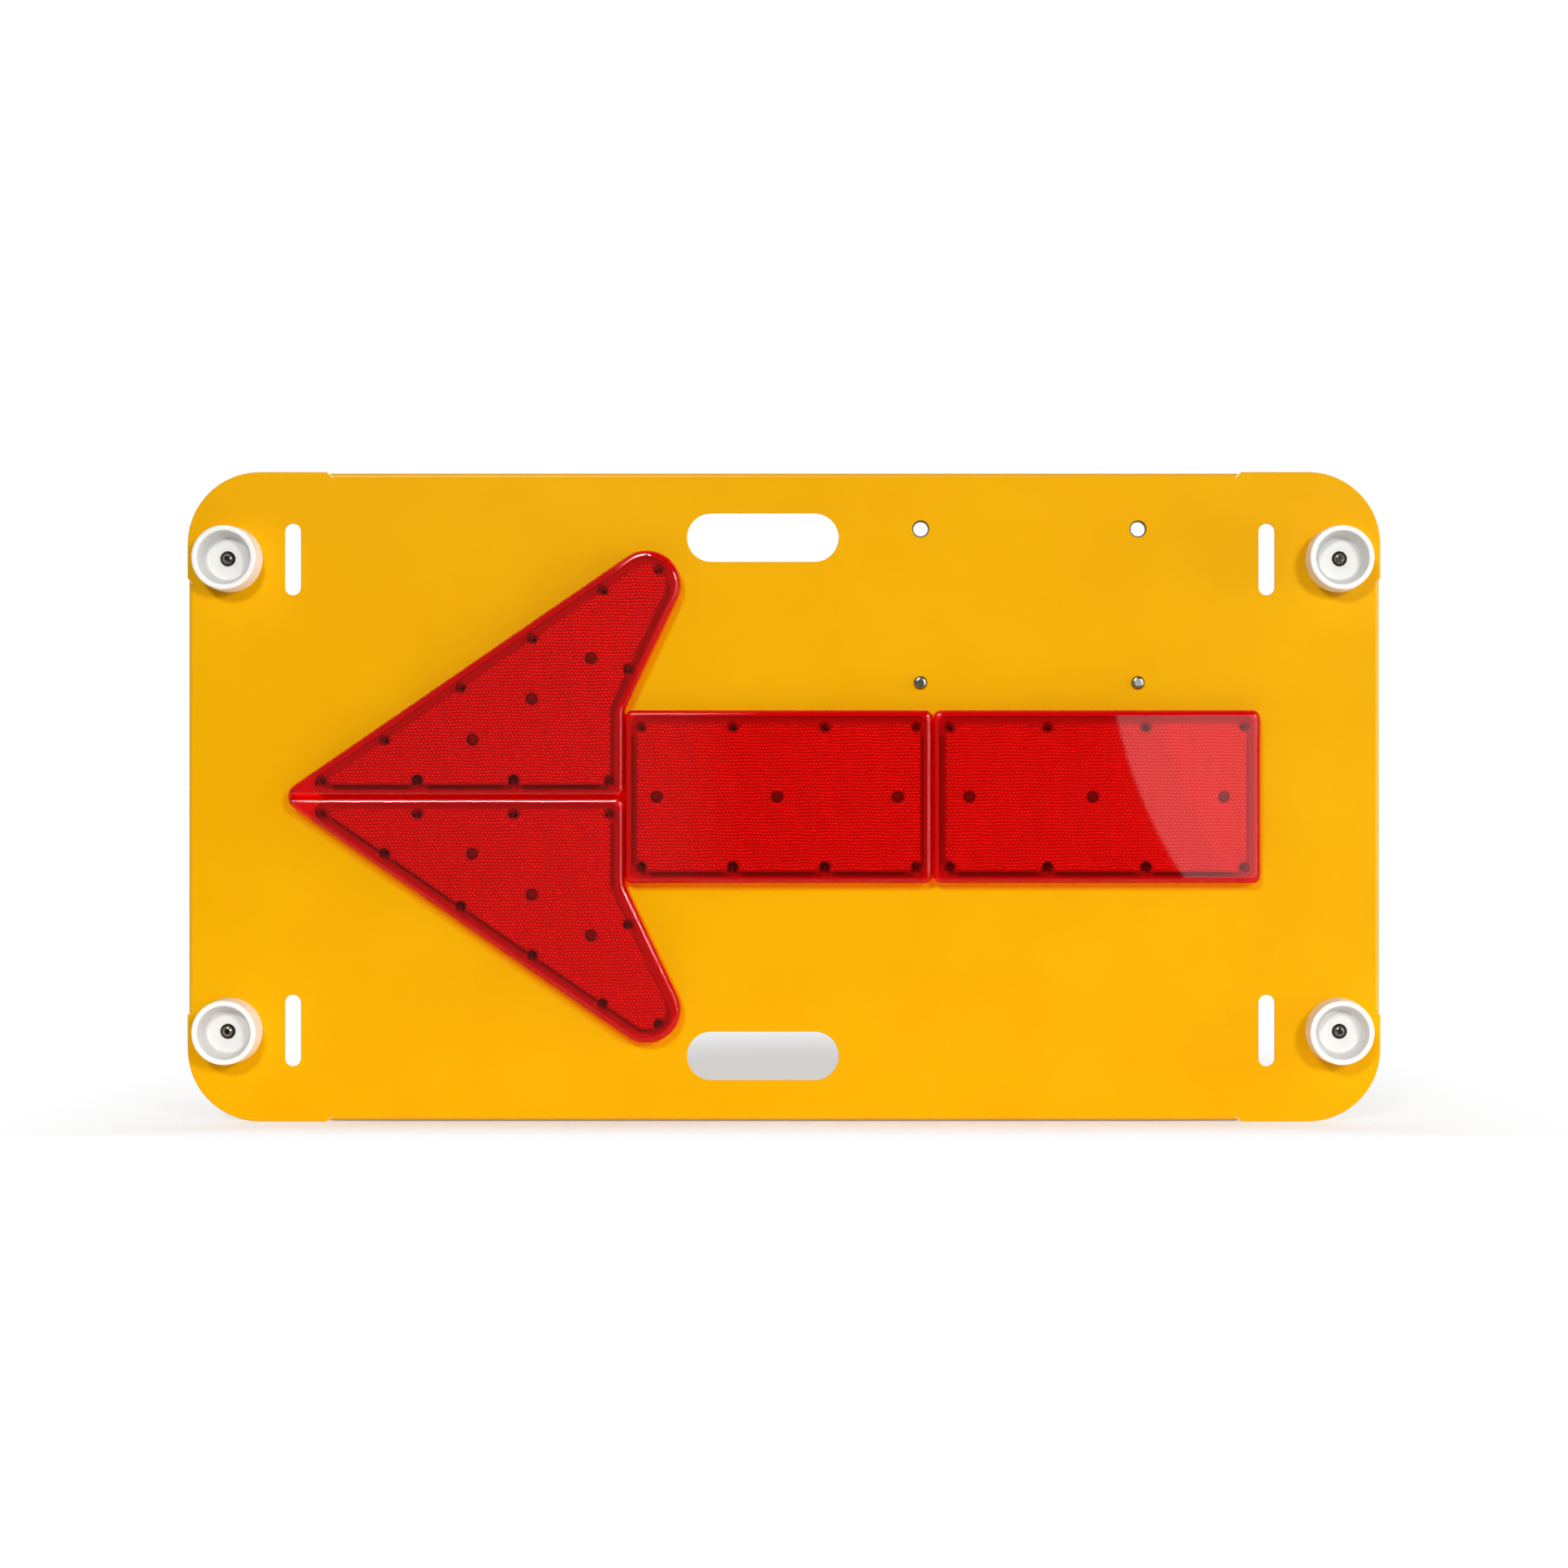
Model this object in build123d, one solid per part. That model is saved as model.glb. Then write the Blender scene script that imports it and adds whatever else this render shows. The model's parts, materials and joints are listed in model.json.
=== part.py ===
from build123d import *
import os
from math import asin, atan2, cos, degrees, hypot, radians, sin, sqrt, tan

os.makedirs("parts", exist_ok=True)

# LED arrow board, in millimetres. X runs along the board, Z is up and the lamps face -Y.
# A height is measured forward from the panel's front face, a depth is measured back from it.

# Panel: folded and painted sheet
BOARD_W = 900.0
BOARD_H = 490.0
CORNER_R = 54.5
SHEET = 1.5
FLANGE_DEPTH = 30.0
FOLD_R = 3.0
FOLD_STEP = 0.9
FOLD_RELIEF = 0.8
TOP_FOLD_INSET = 105.0
SIDE_FOLD_INSET = 80.0
HANDHOLD_L = 114.5
HANDHOLD_W = 36.6
HANDHOLD_X = -16.0
HANDHOLD_INSET = 49.5
SLOT_L = 54.0
SLOT_W = 12.0
SLOT_LEFT_INSET = 79.5
SLOT_RIGHT_INSET = 86.0
LOW_INSET = 68.6
TOP_INSET = 66.0
CUT_EDGE_R = 0.6
CORNER_EDGE_R = 0.9

# Fits shared by all pieces
PIN_FIT = 0.05
HOLE_FIT = 0.3
DROP_IN = 0.25
RUN_GAP = 0.4

# Rounding of screw heads, as a share of the head's height
PAN_SHARE = 0.75
LOW_SHARE = 0.5

# Cup bumpers and their bolts
BUMPER_INSET = 32.0
BUMPER_RIM_R = 24.0
BUMPER_DRAFT = 1.0
BUMPER_LIP_W = 3.8
BUMPER_LIP_R = 1.2
BUMPER_FOOT_R = 1.0
BUMPER_FLOOR_R = 16.2
BUMPER_HOLLOW_R = 2.0
BUMPER_FLOOR = 7.0
BUMPER_H = 26.0
BUMPER_BOLT_R = 3.0
BUMPER_BOLT_HEAD_R = 5.65
BUMPER_BOLT_HEAD_H = 3.3
BUMPER_BOLT_DOME_R = 7.6
BUMPER_SOCKET_AF = 4.0
BUMPER_SOCKET_D = 2.2
WASHER_R = 6.0
WASHER_T = 1.6
BUMPER_NUT_AF = 10.0
BUMPER_NUT_H = 5.0
THREAD_SHOWN = 1.5

# Arrow made of four lamp modules
ARROW_Z = BOARD_H / 2
MODULE_H = 18.0
SHAFT_W = 130.0
SHAFT_CORNER_R = 6.0
NEAR_SHAFT_X0 = -118.8
NEAR_SHAFT_L = 230.8
SHAFT_GAP = 0.4
FAR_SHAFT_L = 245.3
HEAD_GAP = 0.4
TIP_X = -371.5
TIP_R = 10.75
BARB_OUT = 16.6
BARB_UP = 159.4
BARB_R = 25.5
TAIL_EASE_R = 8.0

# Lens, gasket and tray of a module
SKIRT_GAP = 0.4
LENS_EDGE_R = 4.0
LENS_WALL = 4.6
CAVITY_CORNER_R = 6.0
WINDOW_T = 3.0
REBATE = 2.6
LEDGE = 4.0
TRAY_T = 2.5
POST_R = 3.75
POST_INSET = 12.0
POSTS_PER_ROW = 4
HEAD_POST_TIP = 24.9
HEAD_POST_TAIL = 10.8
SLOPE_POST_INSET = 10.2
SLOPE_POSTS = (75.0, 144.5, 209.5, 273.5)
BARB_POST_R = 14.7
BARB_POST_ANGLE = 50.0
TAIL_POST_OUT = 3.3
TAIL_POST_UP = 30.5

# Screws that hold a lens to its tray
LENS_SCREW_R = 1.3
LENS_SCREW_L = 11.0
LENS_SCREW_HEAD_R = 3.0
LENS_SCREW_HEAD_H = 1.3
LENS_SCREW_SINK = 1.5

# Screws that hold a tray to the panel
TRAY_SCREW_R = 1.9
TRAY_SCREW_REACH = 7.5
TRAY_SCREW_HEAD_R = 4.0
TRAY_SCREW_HEAD_H = 2.6
TRAY_CROSS_L = 4.2
TRAY_CROSS_D = 1.4
TRAY_BOSS_R = 4.5
TRAY_BOSS_H = 9.0
NEAR_SHAFT_SCREW_X = 85.0
FAR_SHAFT_SCREW_X = 98.0
SHAFT_SCREW_UP = 30.0
# Screws of an arrowhead half: distance from the tip, distance from the arrow's axis
HEAD_SCREWS = ((63.5, 23.0), (203.5, 38.0), (261.5, 130.0))

# Light sources and the prism plate that spreads them
LED_R = 4.0
LED_FLANGE_R = 4.8
LED_FLANGE_H = 1.0
LED_TIP_H = 14.4
LED_DOME_R = 1.8
# LEDs of a shaft: inset from its left end, shift from its middle, inset from its right end
NEAR_LED_PLACES = (23.8, -1.2, 26.1)
FAR_LED_PLACES = (27.1, -3.05, 27.3)
HEAD_LED_TIP = 138.3
HEAD_LED_UP = 42.8
HEAD_LED_PITCH = 54.0
LEDS_PER_MODULE = 3
BOARD_LOW = 6.5
BOARD_T = 1.6
BOARD_STRIP_W = 24.0
BOARD_END = 10.0
BOARD_POST_R = 3.0
BOARD_PIN_R = 1.25
BOARD_PIN_RISE = 0.8
SHAFT_BOARD_POST_X = 30.0
PRISM_T = 2.0
PRISM_INSET = 10.4
PRISM_CORNER_R = 2.0
PRISM_LED_GAP = 0.25
PRISM_POST_GAP = 0.5

# Leads between the modules and to the control box
LINK_R = 0.8
LINK_BEND_R = 2.5
LINK_START_IN = 48.8
LINK_START_UP = 8.0
LINK_SOLDER_OUT = 5.0
FEED_UP = 9.5
FEED_R = 2.5
GROMMET_NECK_R = 6.0
GROMMET_FLANGE_R = 7.2
GROMMET_FLANGE_T = 1.2

# Hanger plate behind the two open holes
HANGER_INSET = 265.0
HANGER_SPACING = 164.0
HANGER_HOLE_INSET = 43.0
HANGER_SCREW_UP = 86.0
HANGER_HOLE_R = 5.5
HANGER_SIGHT_R = 6.4
HANGER_W = 202.0
HANGER_T = 6.0
HANGER_MARGIN_TOP = 19.0
HANGER_MARGIN_LOW = 15.0
HANGER_CORNER_R = 10.0
HANGER_SCREW_R = 2.5
HANGER_SCREW_HEAD_R = 5.25
HANGER_SCREW_HEAD_H = 3.4
CROSS_L = 5.4
CROSS_W = 1.3
CROSS_D = 1.8
SMALL_NUT_AF = 8.0
SMALL_NUT_H = 4.0

# Control box behind the far shaft
BOX_IN = 123.6
BOX_DROP = 5.0
BOX_CORNER_R = 8.0
BOX_LEAST_R = 1.5
BOX_WALL = 2.5
RIM_W = 5.0
RIM_H = 5.0
GROOVE_INSET = 1.25
GROOVE_W = 2.5
GROOVE_D = 1.5
GASKET_PROUD = 0.6
LID_T = 5.0
LID_POCKET = 2.5
LID_EDGE_R = 2.5
EAR_OUT = 10.0
EAR_R = 9.0
EAR_T = 4.0
EAR_Z = (-50.0, 60.0)
STUD_R = 2.5
STUD_HEAD_R = 4.2

# Lid hinge
HINGE_OUT = 5.0
HINGE_R = 4.0
HINGE_PIN_R = 2.0
KNUCKLE_L = 20.0
KNUCKLES = 5

# Turn latch
LATCH_OUT = 7.0
LATCH_HUB_R = 5.0
LATCH_ARM_L = 20.5
LATCH_ARM_W = 9.0
LATCH_T = 3.0
LATCH_RIB_W = 2.4
LATCH_RIB_L = 10.0
LATCH_BOSS_R = 4.5
LATCH_BOSS_L = 23.0
LATCH_WEB_W = 6.0
LATCH_WEB_L = 14.0
LATCH_PIN_R = 2.5
LATCH_PIN_DEEP = 16.0
LATCH_HEAD_R = 4.5
LATCH_HEAD_H = 2.0
HEAD_CLEAR = 0.3

# Rocker switch in the box's side
SWITCH_UP = 40.0
SWITCH_DEPTH = 26.0
ROCKER_R = 9.3
ROCKER_L = 12.4
ROCKER_SUNK = 4.0
ROCKER_DIP = 0.4
ROCKER_SLOPE = 10.0
ROCKER_TILT = 9.0
TRUNNION_R = 1.5
TRUNNION_L = 1.1
SWITCH_WALL = 1.7
SWITCH_FLOOR = 2.0
BEZEL_T = 2.0
BEZEL_LIP = 1.5

# Cells, holder and control board
CELL_R = 16.6
CELL_L = 61.5
CELL_NUB_R = 4.75
CELL_NUB_L = 1.5
CELL_PITCH = 33.6
CELL_EDGE_R = 1.5
HOLDER_WALL = 2.0
HOLDER_SIDE_H = 18.0
HOLDER_END_H = 30.0
HOLDER_GAP = 1.0
CELL_CLEAR = 2.0
CONTACT_REACH = 2.5
CONTACT_T = 0.5
CONTACT_R = 10.0
CONTACT_BUMP_R = 6.0
CONTACT_TIP_R = 3.0
CONTROL_INSET = 2.0
CONTROL_GAP = 3.7
CONTROL_H = 54.0
CONTROL_STANDOFF = 4.0
CONTROL_STANDOFF_R = 3.0
# Larger parts on the control board: offset in X and Z from its centre, size in X and Z, height
CONTROL_BLOCKS = ((-50.0, -16.0, 16.0, 12.0, 10.0), (0.0, 0.0, 20.0, 8.0, 4.0),
                  (-12.0, 16.0, 10.0, 4.5, 15.0), (12.0, 16.0, 10.0, 4.5, 15.0))
CONTROL_CANS = ((-42.0, 12.0), (-28.0, 12.0))
CAN_R = 5.0
CAN_H = 16.0

# Sizes that follow from the ones above
MODULE_TOP = MODULE_H - WINDOW_T
FOLD_BITE = FOLD_STEP + FOLD_R
TOP_FOLD_L = BOARD_W - 2 * TOP_FOLD_INSET
SIDE_FOLD_L = BOARD_H - 2 * SIDE_FOLD_INSET
SLOT_XS = (SLOT_LEFT_INSET - BOARD_W / 2, BOARD_W / 2 - SLOT_RIGHT_INSET)
BUMPER_X = BOARD_W / 2 - BUMPER_INSET
BUMPER_BASE_R = BUMPER_RIM_R + BUMPER_DRAFT
BUMPER_MOUTH_R = BUMPER_RIM_R - BUMPER_LIP_W
FAR_SHAFT_X0 = NEAR_SHAFT_X0 + NEAR_SHAFT_L + SHAFT_GAP
HEAD_X1 = NEAR_SHAFT_X0 - HEAD_GAP
TIP_CENTRE_X = TIP_X + TIP_R
BARB_X = HEAD_X1 + BARB_OUT
HEAD_POST_X0 = TIP_X + HEAD_POST_TIP
HEAD_POST_PITCH = (HEAD_X1 - HEAD_POST_TAIL - HEAD_POST_X0) / (POSTS_PER_ROW - 1)
TAIL_POST = (HEAD_X1 + TAIL_POST_OUT, SHAFT_W / 2 + TAIL_POST_UP)
HEAD_LED_FIRST = (TIP_X + HEAD_LED_TIP, HEAD_LED_UP)
LINK_START_X = NEAR_SHAFT_X0 + LINK_START_IN
FEED_Z = ARROW_Z + FEED_UP
HANGER_X = BOARD_W / 2 - HANGER_INSET
HANGER_HOLE_Z = BOARD_H - HANGER_HOLE_INSET
HANGER_SCREW_Z = ARROW_Z + HANGER_SCREW_UP
HOLDER_L = 2 * (CELL_L + CONTACT_REACH + HOLDER_WALL)
HOLDER_H = CELL_PITCH + 2 * CELL_R + 2 * HOLDER_WALL + 2 * DROP_IN
CONTROL_W = HOLDER_L - 2 * CONTROL_INSET
BOX_X = FAR_SHAFT_X0 + BOX_IN
BOX_Z = ARROW_Z - BOX_DROP
BOX_W = HOLDER_L + 2 * HOLDER_GAP + 2 * RIM_W
BOX_H = HOLDER_H + CONTROL_GAP + CONTROL_H + 2 * HOLDER_GAP + 2 * BOX_WALL
CELL_FLOOR = SHEET + BOX_WALL + HOLDER_WALL
RIM_DEPTH = CELL_FLOOR + 2 * CELL_R + CELL_CLEAR
LID_DEPTH = RIM_DEPTH + GASKET_PROUD
LID_BACK = LID_DEPTH + LID_T
LATCH_DEPTH = LID_BACK + RUN_GAP
REAR_REACH = LATCH_DEPTH + LATCH_T + HEAD_CLEAR + LATCH_HEAD_H
PANEL_Y = (BUMPER_H - REAR_REACH) / 2
BOX_LEFT = BOX_X - BOX_W / 2
BOX_RIGHT = BOX_X + BOX_W / 2
HINGE_X = BOX_LEFT - HINGE_OUT
LATCH_X = BOX_RIGHT + LATCH_OUT
LINK_LOW = LINK_R + PIN_FIT
HOLDER_Z = BOX_Z - BOX_H / 2 + BOX_WALL + HOLDER_GAP + HOLDER_H / 2
CONTROL_Z = BOX_Z + BOX_H / 2 - BOX_WALL - HOLDER_GAP - CONTROL_H / 2
CONTROL_BACK = SHEET + BOX_WALL + CONTROL_STANDOFF + BOARD_T
CELL_ROWS = (HOLDER_Z - CELL_PITCH / 2, HOLDER_Z + CELL_PITCH / 2)
CELL_DEPTH = CELL_FLOOR + CELL_R + PIN_FIT
ROCKER_X = BOX_RIGHT + BEZEL_T - ROCKER_SUNK
ROCKER_Z = BOX_Z + SWITCH_UP
ROCKER_WELL_R = ROCKER_R + RUN_GAP
SWITCH_HALF_Z = ROCKER_WELL_R + SWITCH_WALL
SWITCH_HALF_Y = ROCKER_L / 2 + RUN_GAP + SWITCH_WALL


def led_row(x0, length, places):
    """X of a shaft module's three LEDs."""
    first, shift, last = places
    return (x0 + first, x0 + length / 2 + shift, x0 + length - last)


NEAR_LEDS = led_row(NEAR_SHAFT_X0, NEAR_SHAFT_L, NEAR_LED_PLACES)
FAR_LEDS = led_row(FAR_SHAFT_X0, FAR_SHAFT_L, FAR_LED_PLACES)
FEED_X = (FAR_LEDS[0] + FAR_LEDS[1]) / 2

# The straight outer edge of an arrowhead half touches the tip circle and the barb circle.
SLOPE_SPAN = hypot(BARB_X - TIP_CENTRE_X, BARB_UP)
SLOPE = atan2(BARB_UP, BARB_X - TIP_CENTRE_X) + asin((BARB_R - TIP_R) / SLOPE_SPAN)
ALONG = (cos(SLOPE), sin(SLOPE))
OUTWARD = (-sin(SLOPE), cos(SLOPE))
SLOPE_START = (TIP_CENTRE_X + TIP_R * OUTWARD[0], TIP_R * OUTWARD[1])
SLOPE_END = (BARB_X + BARB_R * OUTWARD[0], BARB_UP + BARB_R * OUTWARD[1])
# The tail edge runs from the shaft's corner to the far side of the barb circle.
TAIL_CORNER = (HEAD_X1, SHAFT_W / 2)
TAIL_SPAN = hypot(BARB_X - TAIL_CORNER[0], BARB_UP - TAIL_CORNER[1])
TAIL_ANGLE = atan2(BARB_UP - TAIL_CORNER[1], BARB_X - TAIL_CORNER[0]) - asin(BARB_R / TAIL_SPAN)
TAIL_END = (BARB_X + BARB_R * sin(TAIL_ANGLE), BARB_UP - BARB_R * cos(TAIL_ANGLE))

LEVELS = (LOW_INSET, BOARD_H - TOP_INSET)
CORNERS = [(side * BUMPER_X, z) for side in (-1, 1) for z in LEVELS]
HANGER_XS = (HANGER_X - HANGER_SPACING / 2, HANGER_X + HANGER_SPACING / 2)
HANGER_SCREWS = [(x, HANGER_SCREW_Z) for x in HANGER_XS]
HANGER_HOLES = [(x, HANGER_HOLE_Z) for x in HANGER_XS]
EARS = [(BOX_X + side * (BOX_W / 2 + EAR_OUT), BOX_Z + up) for side in (-1, 1) for up in EAR_Z]


def front_plane(height):
    """Sketch plane at a height: its x is the board's X, its y is the board's Z."""
    return Plane(origin=(0, PANEL_Y - height, 0), x_dir=(1, 0, 0), z_dir=(0, -1, 0))


def slab(sketch, low, high):
    """Solid over a front-view sketch, between two heights."""
    return extrude(front_plane(low) * sketch, amount=high - low)


def behind(sketch, near, far):
    """Solid over a front-view sketch, between two depths."""
    return slab(sketch, -far, -near)


def dots(points, radius):
    """Front-view sketch of equal circles."""
    return Sketch() + [Pos(x, z) * Circle(radius) for x, z in points]


def inset(sketch, amount, corner=0.0):
    """The sketch shrunk by an amount, its corners rounded when a radius is given."""
    if corner == 0:
        return offset(sketch, amount=-amount, kind=Kind.INTERSECTION)
    return offset(offset(sketch, amount=-amount - corner, kind=Kind.INTERSECTION), amount=corner)


def eased(sketch, point, radius):
    """The sketch with its corner nearest to the point rounded."""
    corner = sketch.vertices().sort_by_distance((point[0], point[1], 0))[0]
    return fillet(corner, radius)


def turned(points, x, z, rounds=()):
    """Solid of revolution about a front-to-back axis from (radius, height) points."""
    profile = Sketch() + Polygon(*points, align=None)
    for point, radius in rounds:
        profile = eased(profile, point, radius)
    plane = Plane(origin=(x, PANEL_Y, z), x_dir=(1, 0, 0), z_dir=(0, 0, -1))
    return revolve(plane * profile, axis=Axis((x, PANEL_Y, z), (0, -1, 0)))


def group(solids):
    """Separate solids kept together as one node."""
    return Compound([solid for piece in solids for solid in piece.solids()])


def bolt(x, z, radius, head_radius, seat, head_height, reach, dome):
    """Bolt whose head stands on a seat height and whose shank reaches back to a depth."""
    points = [
        (0, -reach), (radius, -reach), (radius, seat), (head_radius, seat),
        (head_radius, seat + head_height), (0, seat + head_height),
    ]
    return turned(points, x, z, [((head_radius, seat + head_height), dome)])


def nut(x, z, across, near, height, bore):
    """Hexagon nut that stands on a depth."""
    hexagon = RegularPolygon(across / 2, 6, major_radius=False)
    return behind(Pos(x, z) * (hexagon - Circle(bore)), near, near + height)


def cross(length):
    """Front-view sketch of a cross recess."""
    return Rectangle(length, CROSS_W) + Rectangle(CROSS_W, length)


# Panel


def fold(reach, length, turn):
    """One folded-back edge, built above the board's centre and turned to its own side."""
    start = reach - FOLD_BITE
    top = start + FOLD_R
    bend = FOLD_R * sin(radians(45))
    inner = FOLD_R - SHEET
    inner_bend = inner * sin(radians(45))
    profile = make_face([
        ThreePointArc((0, start), (FOLD_R - bend, start + bend), (FOLD_R, top)),
        Line((FOLD_R, top), (FLANGE_DEPTH, top)),
        Line((FLANGE_DEPTH, top), (FLANGE_DEPTH, top - SHEET)),
        Line((FLANGE_DEPTH, top - SHEET), (FOLD_R, top - SHEET)),
        ThreePointArc((FOLD_R, top - SHEET), (FOLD_R - inner_bend, start + inner_bend), (SHEET, start)),
        Line((SHEET, start), (0, start)),
    ])
    side = Plane(origin=(-length / 2, PANEL_Y, 0), x_dir=(0, 1, 0), z_dir=(1, 0, 0))
    strip = extrude(side * profile, amount=length)
    strip = strip & behind(fold_bite(reach, length - 2 * FOLD_RELIEF), 0, FLANGE_DEPTH)
    return Pos(0, 0, BOARD_H / 2) * Rot(0, turn, 0) * strip


def fold_bite(reach, length):
    """Front-view sketch of the strip that a fold takes from the flat sheet."""
    low = reach - FOLD_BITE
    half = length / 2
    return Polygon(
        (-half + FOLD_BITE, low), (half - FOLD_BITE, low), (half, reach), (-half, reach), align=None
    )


def make_panel(tray_screws):
    """Sheet with folded edges, handholds, strap slots and every hole."""
    flat = RectangleRounded(BOARD_W, BOARD_H, CORNER_R)
    sides = [(BOARD_H / 2, TOP_FOLD_L, 0), (BOARD_W / 2, SIDE_FOLD_L, 90),
             (BOARD_H / 2, TOP_FOLD_L, 180), (BOARD_W / 2, SIDE_FOLD_L, 270)]
    for reach, length, turn in sides:
        flat = flat - Rot(0, 0, turn) * fold_bite(reach, length)
    panel = behind(Pos(0, BOARD_H / 2) * flat, 0, SHEET)
    for reach, length, turn in sides:
        panel = panel + fold(reach, length, turn)
    front = panel.faces().sort_by(Axis.Y)[0]
    rounds = [edge for edge in front.outer_wire().edges() if edge.geom_type == GeomType.CIRCLE]
    panel = fillet(rounds, CORNER_EDGE_R)
    cuts = Sketch()
    for z in (HANDHOLD_INSET, BOARD_H - HANDHOLD_INSET):
        cuts = cuts + Pos(HANDHOLD_X, z) * SlotOverall(HANDHOLD_L, HANDHOLD_W)
    for x in SLOT_XS:
        for z in LEVELS:
            cuts = cuts + Pos(x, z) * SlotOverall(SLOT_L, SLOT_W, rotation=90)
    cuts = cuts + dots(HANGER_HOLES, HANGER_SIGHT_R)
    panel = panel - behind(cuts, 0, SHEET)
    front = panel.faces().sort_by(Axis.Y)[0]
    panel = fillet([edge for wire in front.inner_wires() for edge in wire.edges()], CUT_EDGE_R)
    cuts = dots(CORNERS, BUMPER_BOLT_R + HOLE_FIT)
    cuts = cuts + dots(HANGER_SCREWS, HANGER_SCREW_R + HOLE_FIT)
    cuts = cuts + dots(tray_screws, TRAY_SCREW_R + HOLE_FIT)
    cuts = cuts + dots(EARS, STUD_HEAD_R + PIN_FIT)
    cuts = cuts + dots([(FEED_X, FEED_Z)], GROMMET_NECK_R)
    return panel - behind(cuts, 0, SHEET)


# Bumpers


def bumper(x, z):
    """Cup bumper with a tapered mouth, turned about its bolt."""
    hole = BUMPER_BOLT_R + HOLE_FIT
    points = [
        (hole, 0), (BUMPER_BASE_R, 0), (BUMPER_RIM_R, BUMPER_H), (BUMPER_MOUTH_R, BUMPER_H),
        (BUMPER_FLOOR_R, BUMPER_FLOOR), (hole, BUMPER_FLOOR),
    ]
    rounds = [
        (points[1], BUMPER_FOOT_R), (points[2], BUMPER_LIP_R), (points[3], BUMPER_LIP_R),
        (points[4], BUMPER_HOLLOW_R),
    ]
    return turned(points, x, z, rounds)


def bumper_bolt(x, z):
    """Domed socket bolt in the floor of a bumper."""
    reach = SHEET + WASHER_T + BUMPER_NUT_H + THREAD_SHOWN
    top = BUMPER_FLOOR + BUMPER_BOLT_HEAD_H
    spot = Pos(x, z)
    ball = Pos(x, PANEL_Y - top + BUMPER_BOLT_DOME_R, z) * Sphere(BUMPER_BOLT_DOME_R)
    head = slab(spot * Circle(BUMPER_BOLT_HEAD_R), BUMPER_FLOOR, top) & ball
    shank = slab(spot * Circle(BUMPER_BOLT_R), -reach, BUMPER_FLOOR)
    socket = spot * RegularPolygon(BUMPER_SOCKET_AF / 2, 6, major_radius=False)
    return head + shank - slab(socket, top - BUMPER_SOCKET_D, top)


def bumper_washer(x, z):
    """Plain washer behind the panel."""
    ring = Circle(WASHER_R) - Circle(BUMPER_BOLT_R + HOLE_FIT)
    return behind(Pos(x, z) * ring, SHEET, SHEET + WASHER_T)


# Lamp modules


def shaft_outline(x0, length):
    """Front-view outline of a shaft module."""
    return Pos(x0 + length / 2, ARROW_Z) * RectangleRounded(length, SHAFT_W, SHAFT_CORNER_R)


def head_outline(side):
    """Front-view outline of one arrowhead half, above (+1) or below (-1) the arrow's axis."""
    split = HEAD_GAP / 2
    tip = (TIP_CENTRE_X - sqrt(TIP_R ** 2 - split ** 2), split)
    middle = radians(180) - (radians(90) - SLOPE) / 2
    tip_middle = (TIP_CENTRE_X + TIP_R * cos(middle), TIP_R * sin(middle))
    turn = (SLOPE + TAIL_ANGLE) / 2
    barb_middle = (BARB_X + BARB_R * cos(turn), BARB_UP + BARB_R * sin(turn))
    low = (HEAD_X1, split)

    def on_board(point):
        return (point[0], ARROW_Z + side * point[1])

    outline = make_face([
        ThreePointArc(on_board(tip), on_board(tip_middle), on_board(SLOPE_START)),
        Line(on_board(SLOPE_START), on_board(SLOPE_END)),
        ThreePointArc(on_board(SLOPE_END), on_board(barb_middle), on_board(TAIL_END)),
        Line(on_board(TAIL_END), on_board(TAIL_CORNER)),
        Line(on_board(TAIL_CORNER), on_board(low)),
        Line(on_board(low), on_board(tip)),
    ])
    outline = eased(Sketch() + outline, on_board(TAIL_CORNER), TAIL_EASE_R)
    return eased(outline, on_board(low), SHAFT_CORNER_R)


def shaft_posts(x, length):
    """Centres of the lens posts of a shaft module, two even rows."""
    step = (length - 2 * POST_INSET) / (POSTS_PER_ROW - 1)
    rows = (SHAFT_W / 2 - POST_INSET, POST_INSET - SHAFT_W / 2)
    starts = [x - length / 2 + POST_INSET + step * i for i in range(POSTS_PER_ROW)]
    return [(start, ARROW_Z + row) for row in rows for start in starts]


def head_posts(side):
    """Centres of the lens posts of an arrowhead half: along the axis, the slope and the tail."""
    row = POST_INSET + HEAD_GAP / 2
    points = [(HEAD_POST_X0 + HEAD_POST_PITCH * i, row) for i in range(POSTS_PER_ROW)]
    for distance in SLOPE_POSTS:
        points.append((
            SLOPE_START[0] + distance * ALONG[0] - SLOPE_POST_INSET * OUTWARD[0],
            SLOPE_START[1] + distance * ALONG[1] - SLOPE_POST_INSET * OUTWARD[1],
        ))
    angle = radians(BARB_POST_ANGLE)
    points.append((BARB_X + BARB_POST_R * cos(angle), BARB_UP + BARB_POST_R * sin(angle)))
    points.append(TAIL_POST)
    return [(x, ARROW_Z + side * up) for x, up in points]


def head_leds(side):
    """Centres of the LEDs of an arrowhead half, on a line along the slope."""
    steps = [HEAD_LED_PITCH * i for i in range(LEDS_PER_MODULE)]
    points = [(HEAD_LED_FIRST[0] + s * ALONG[0], HEAD_LED_FIRST[1] + s * ALONG[1]) for s in steps]
    return [(x, ARROW_Z + side * up) for x, up in points]


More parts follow.
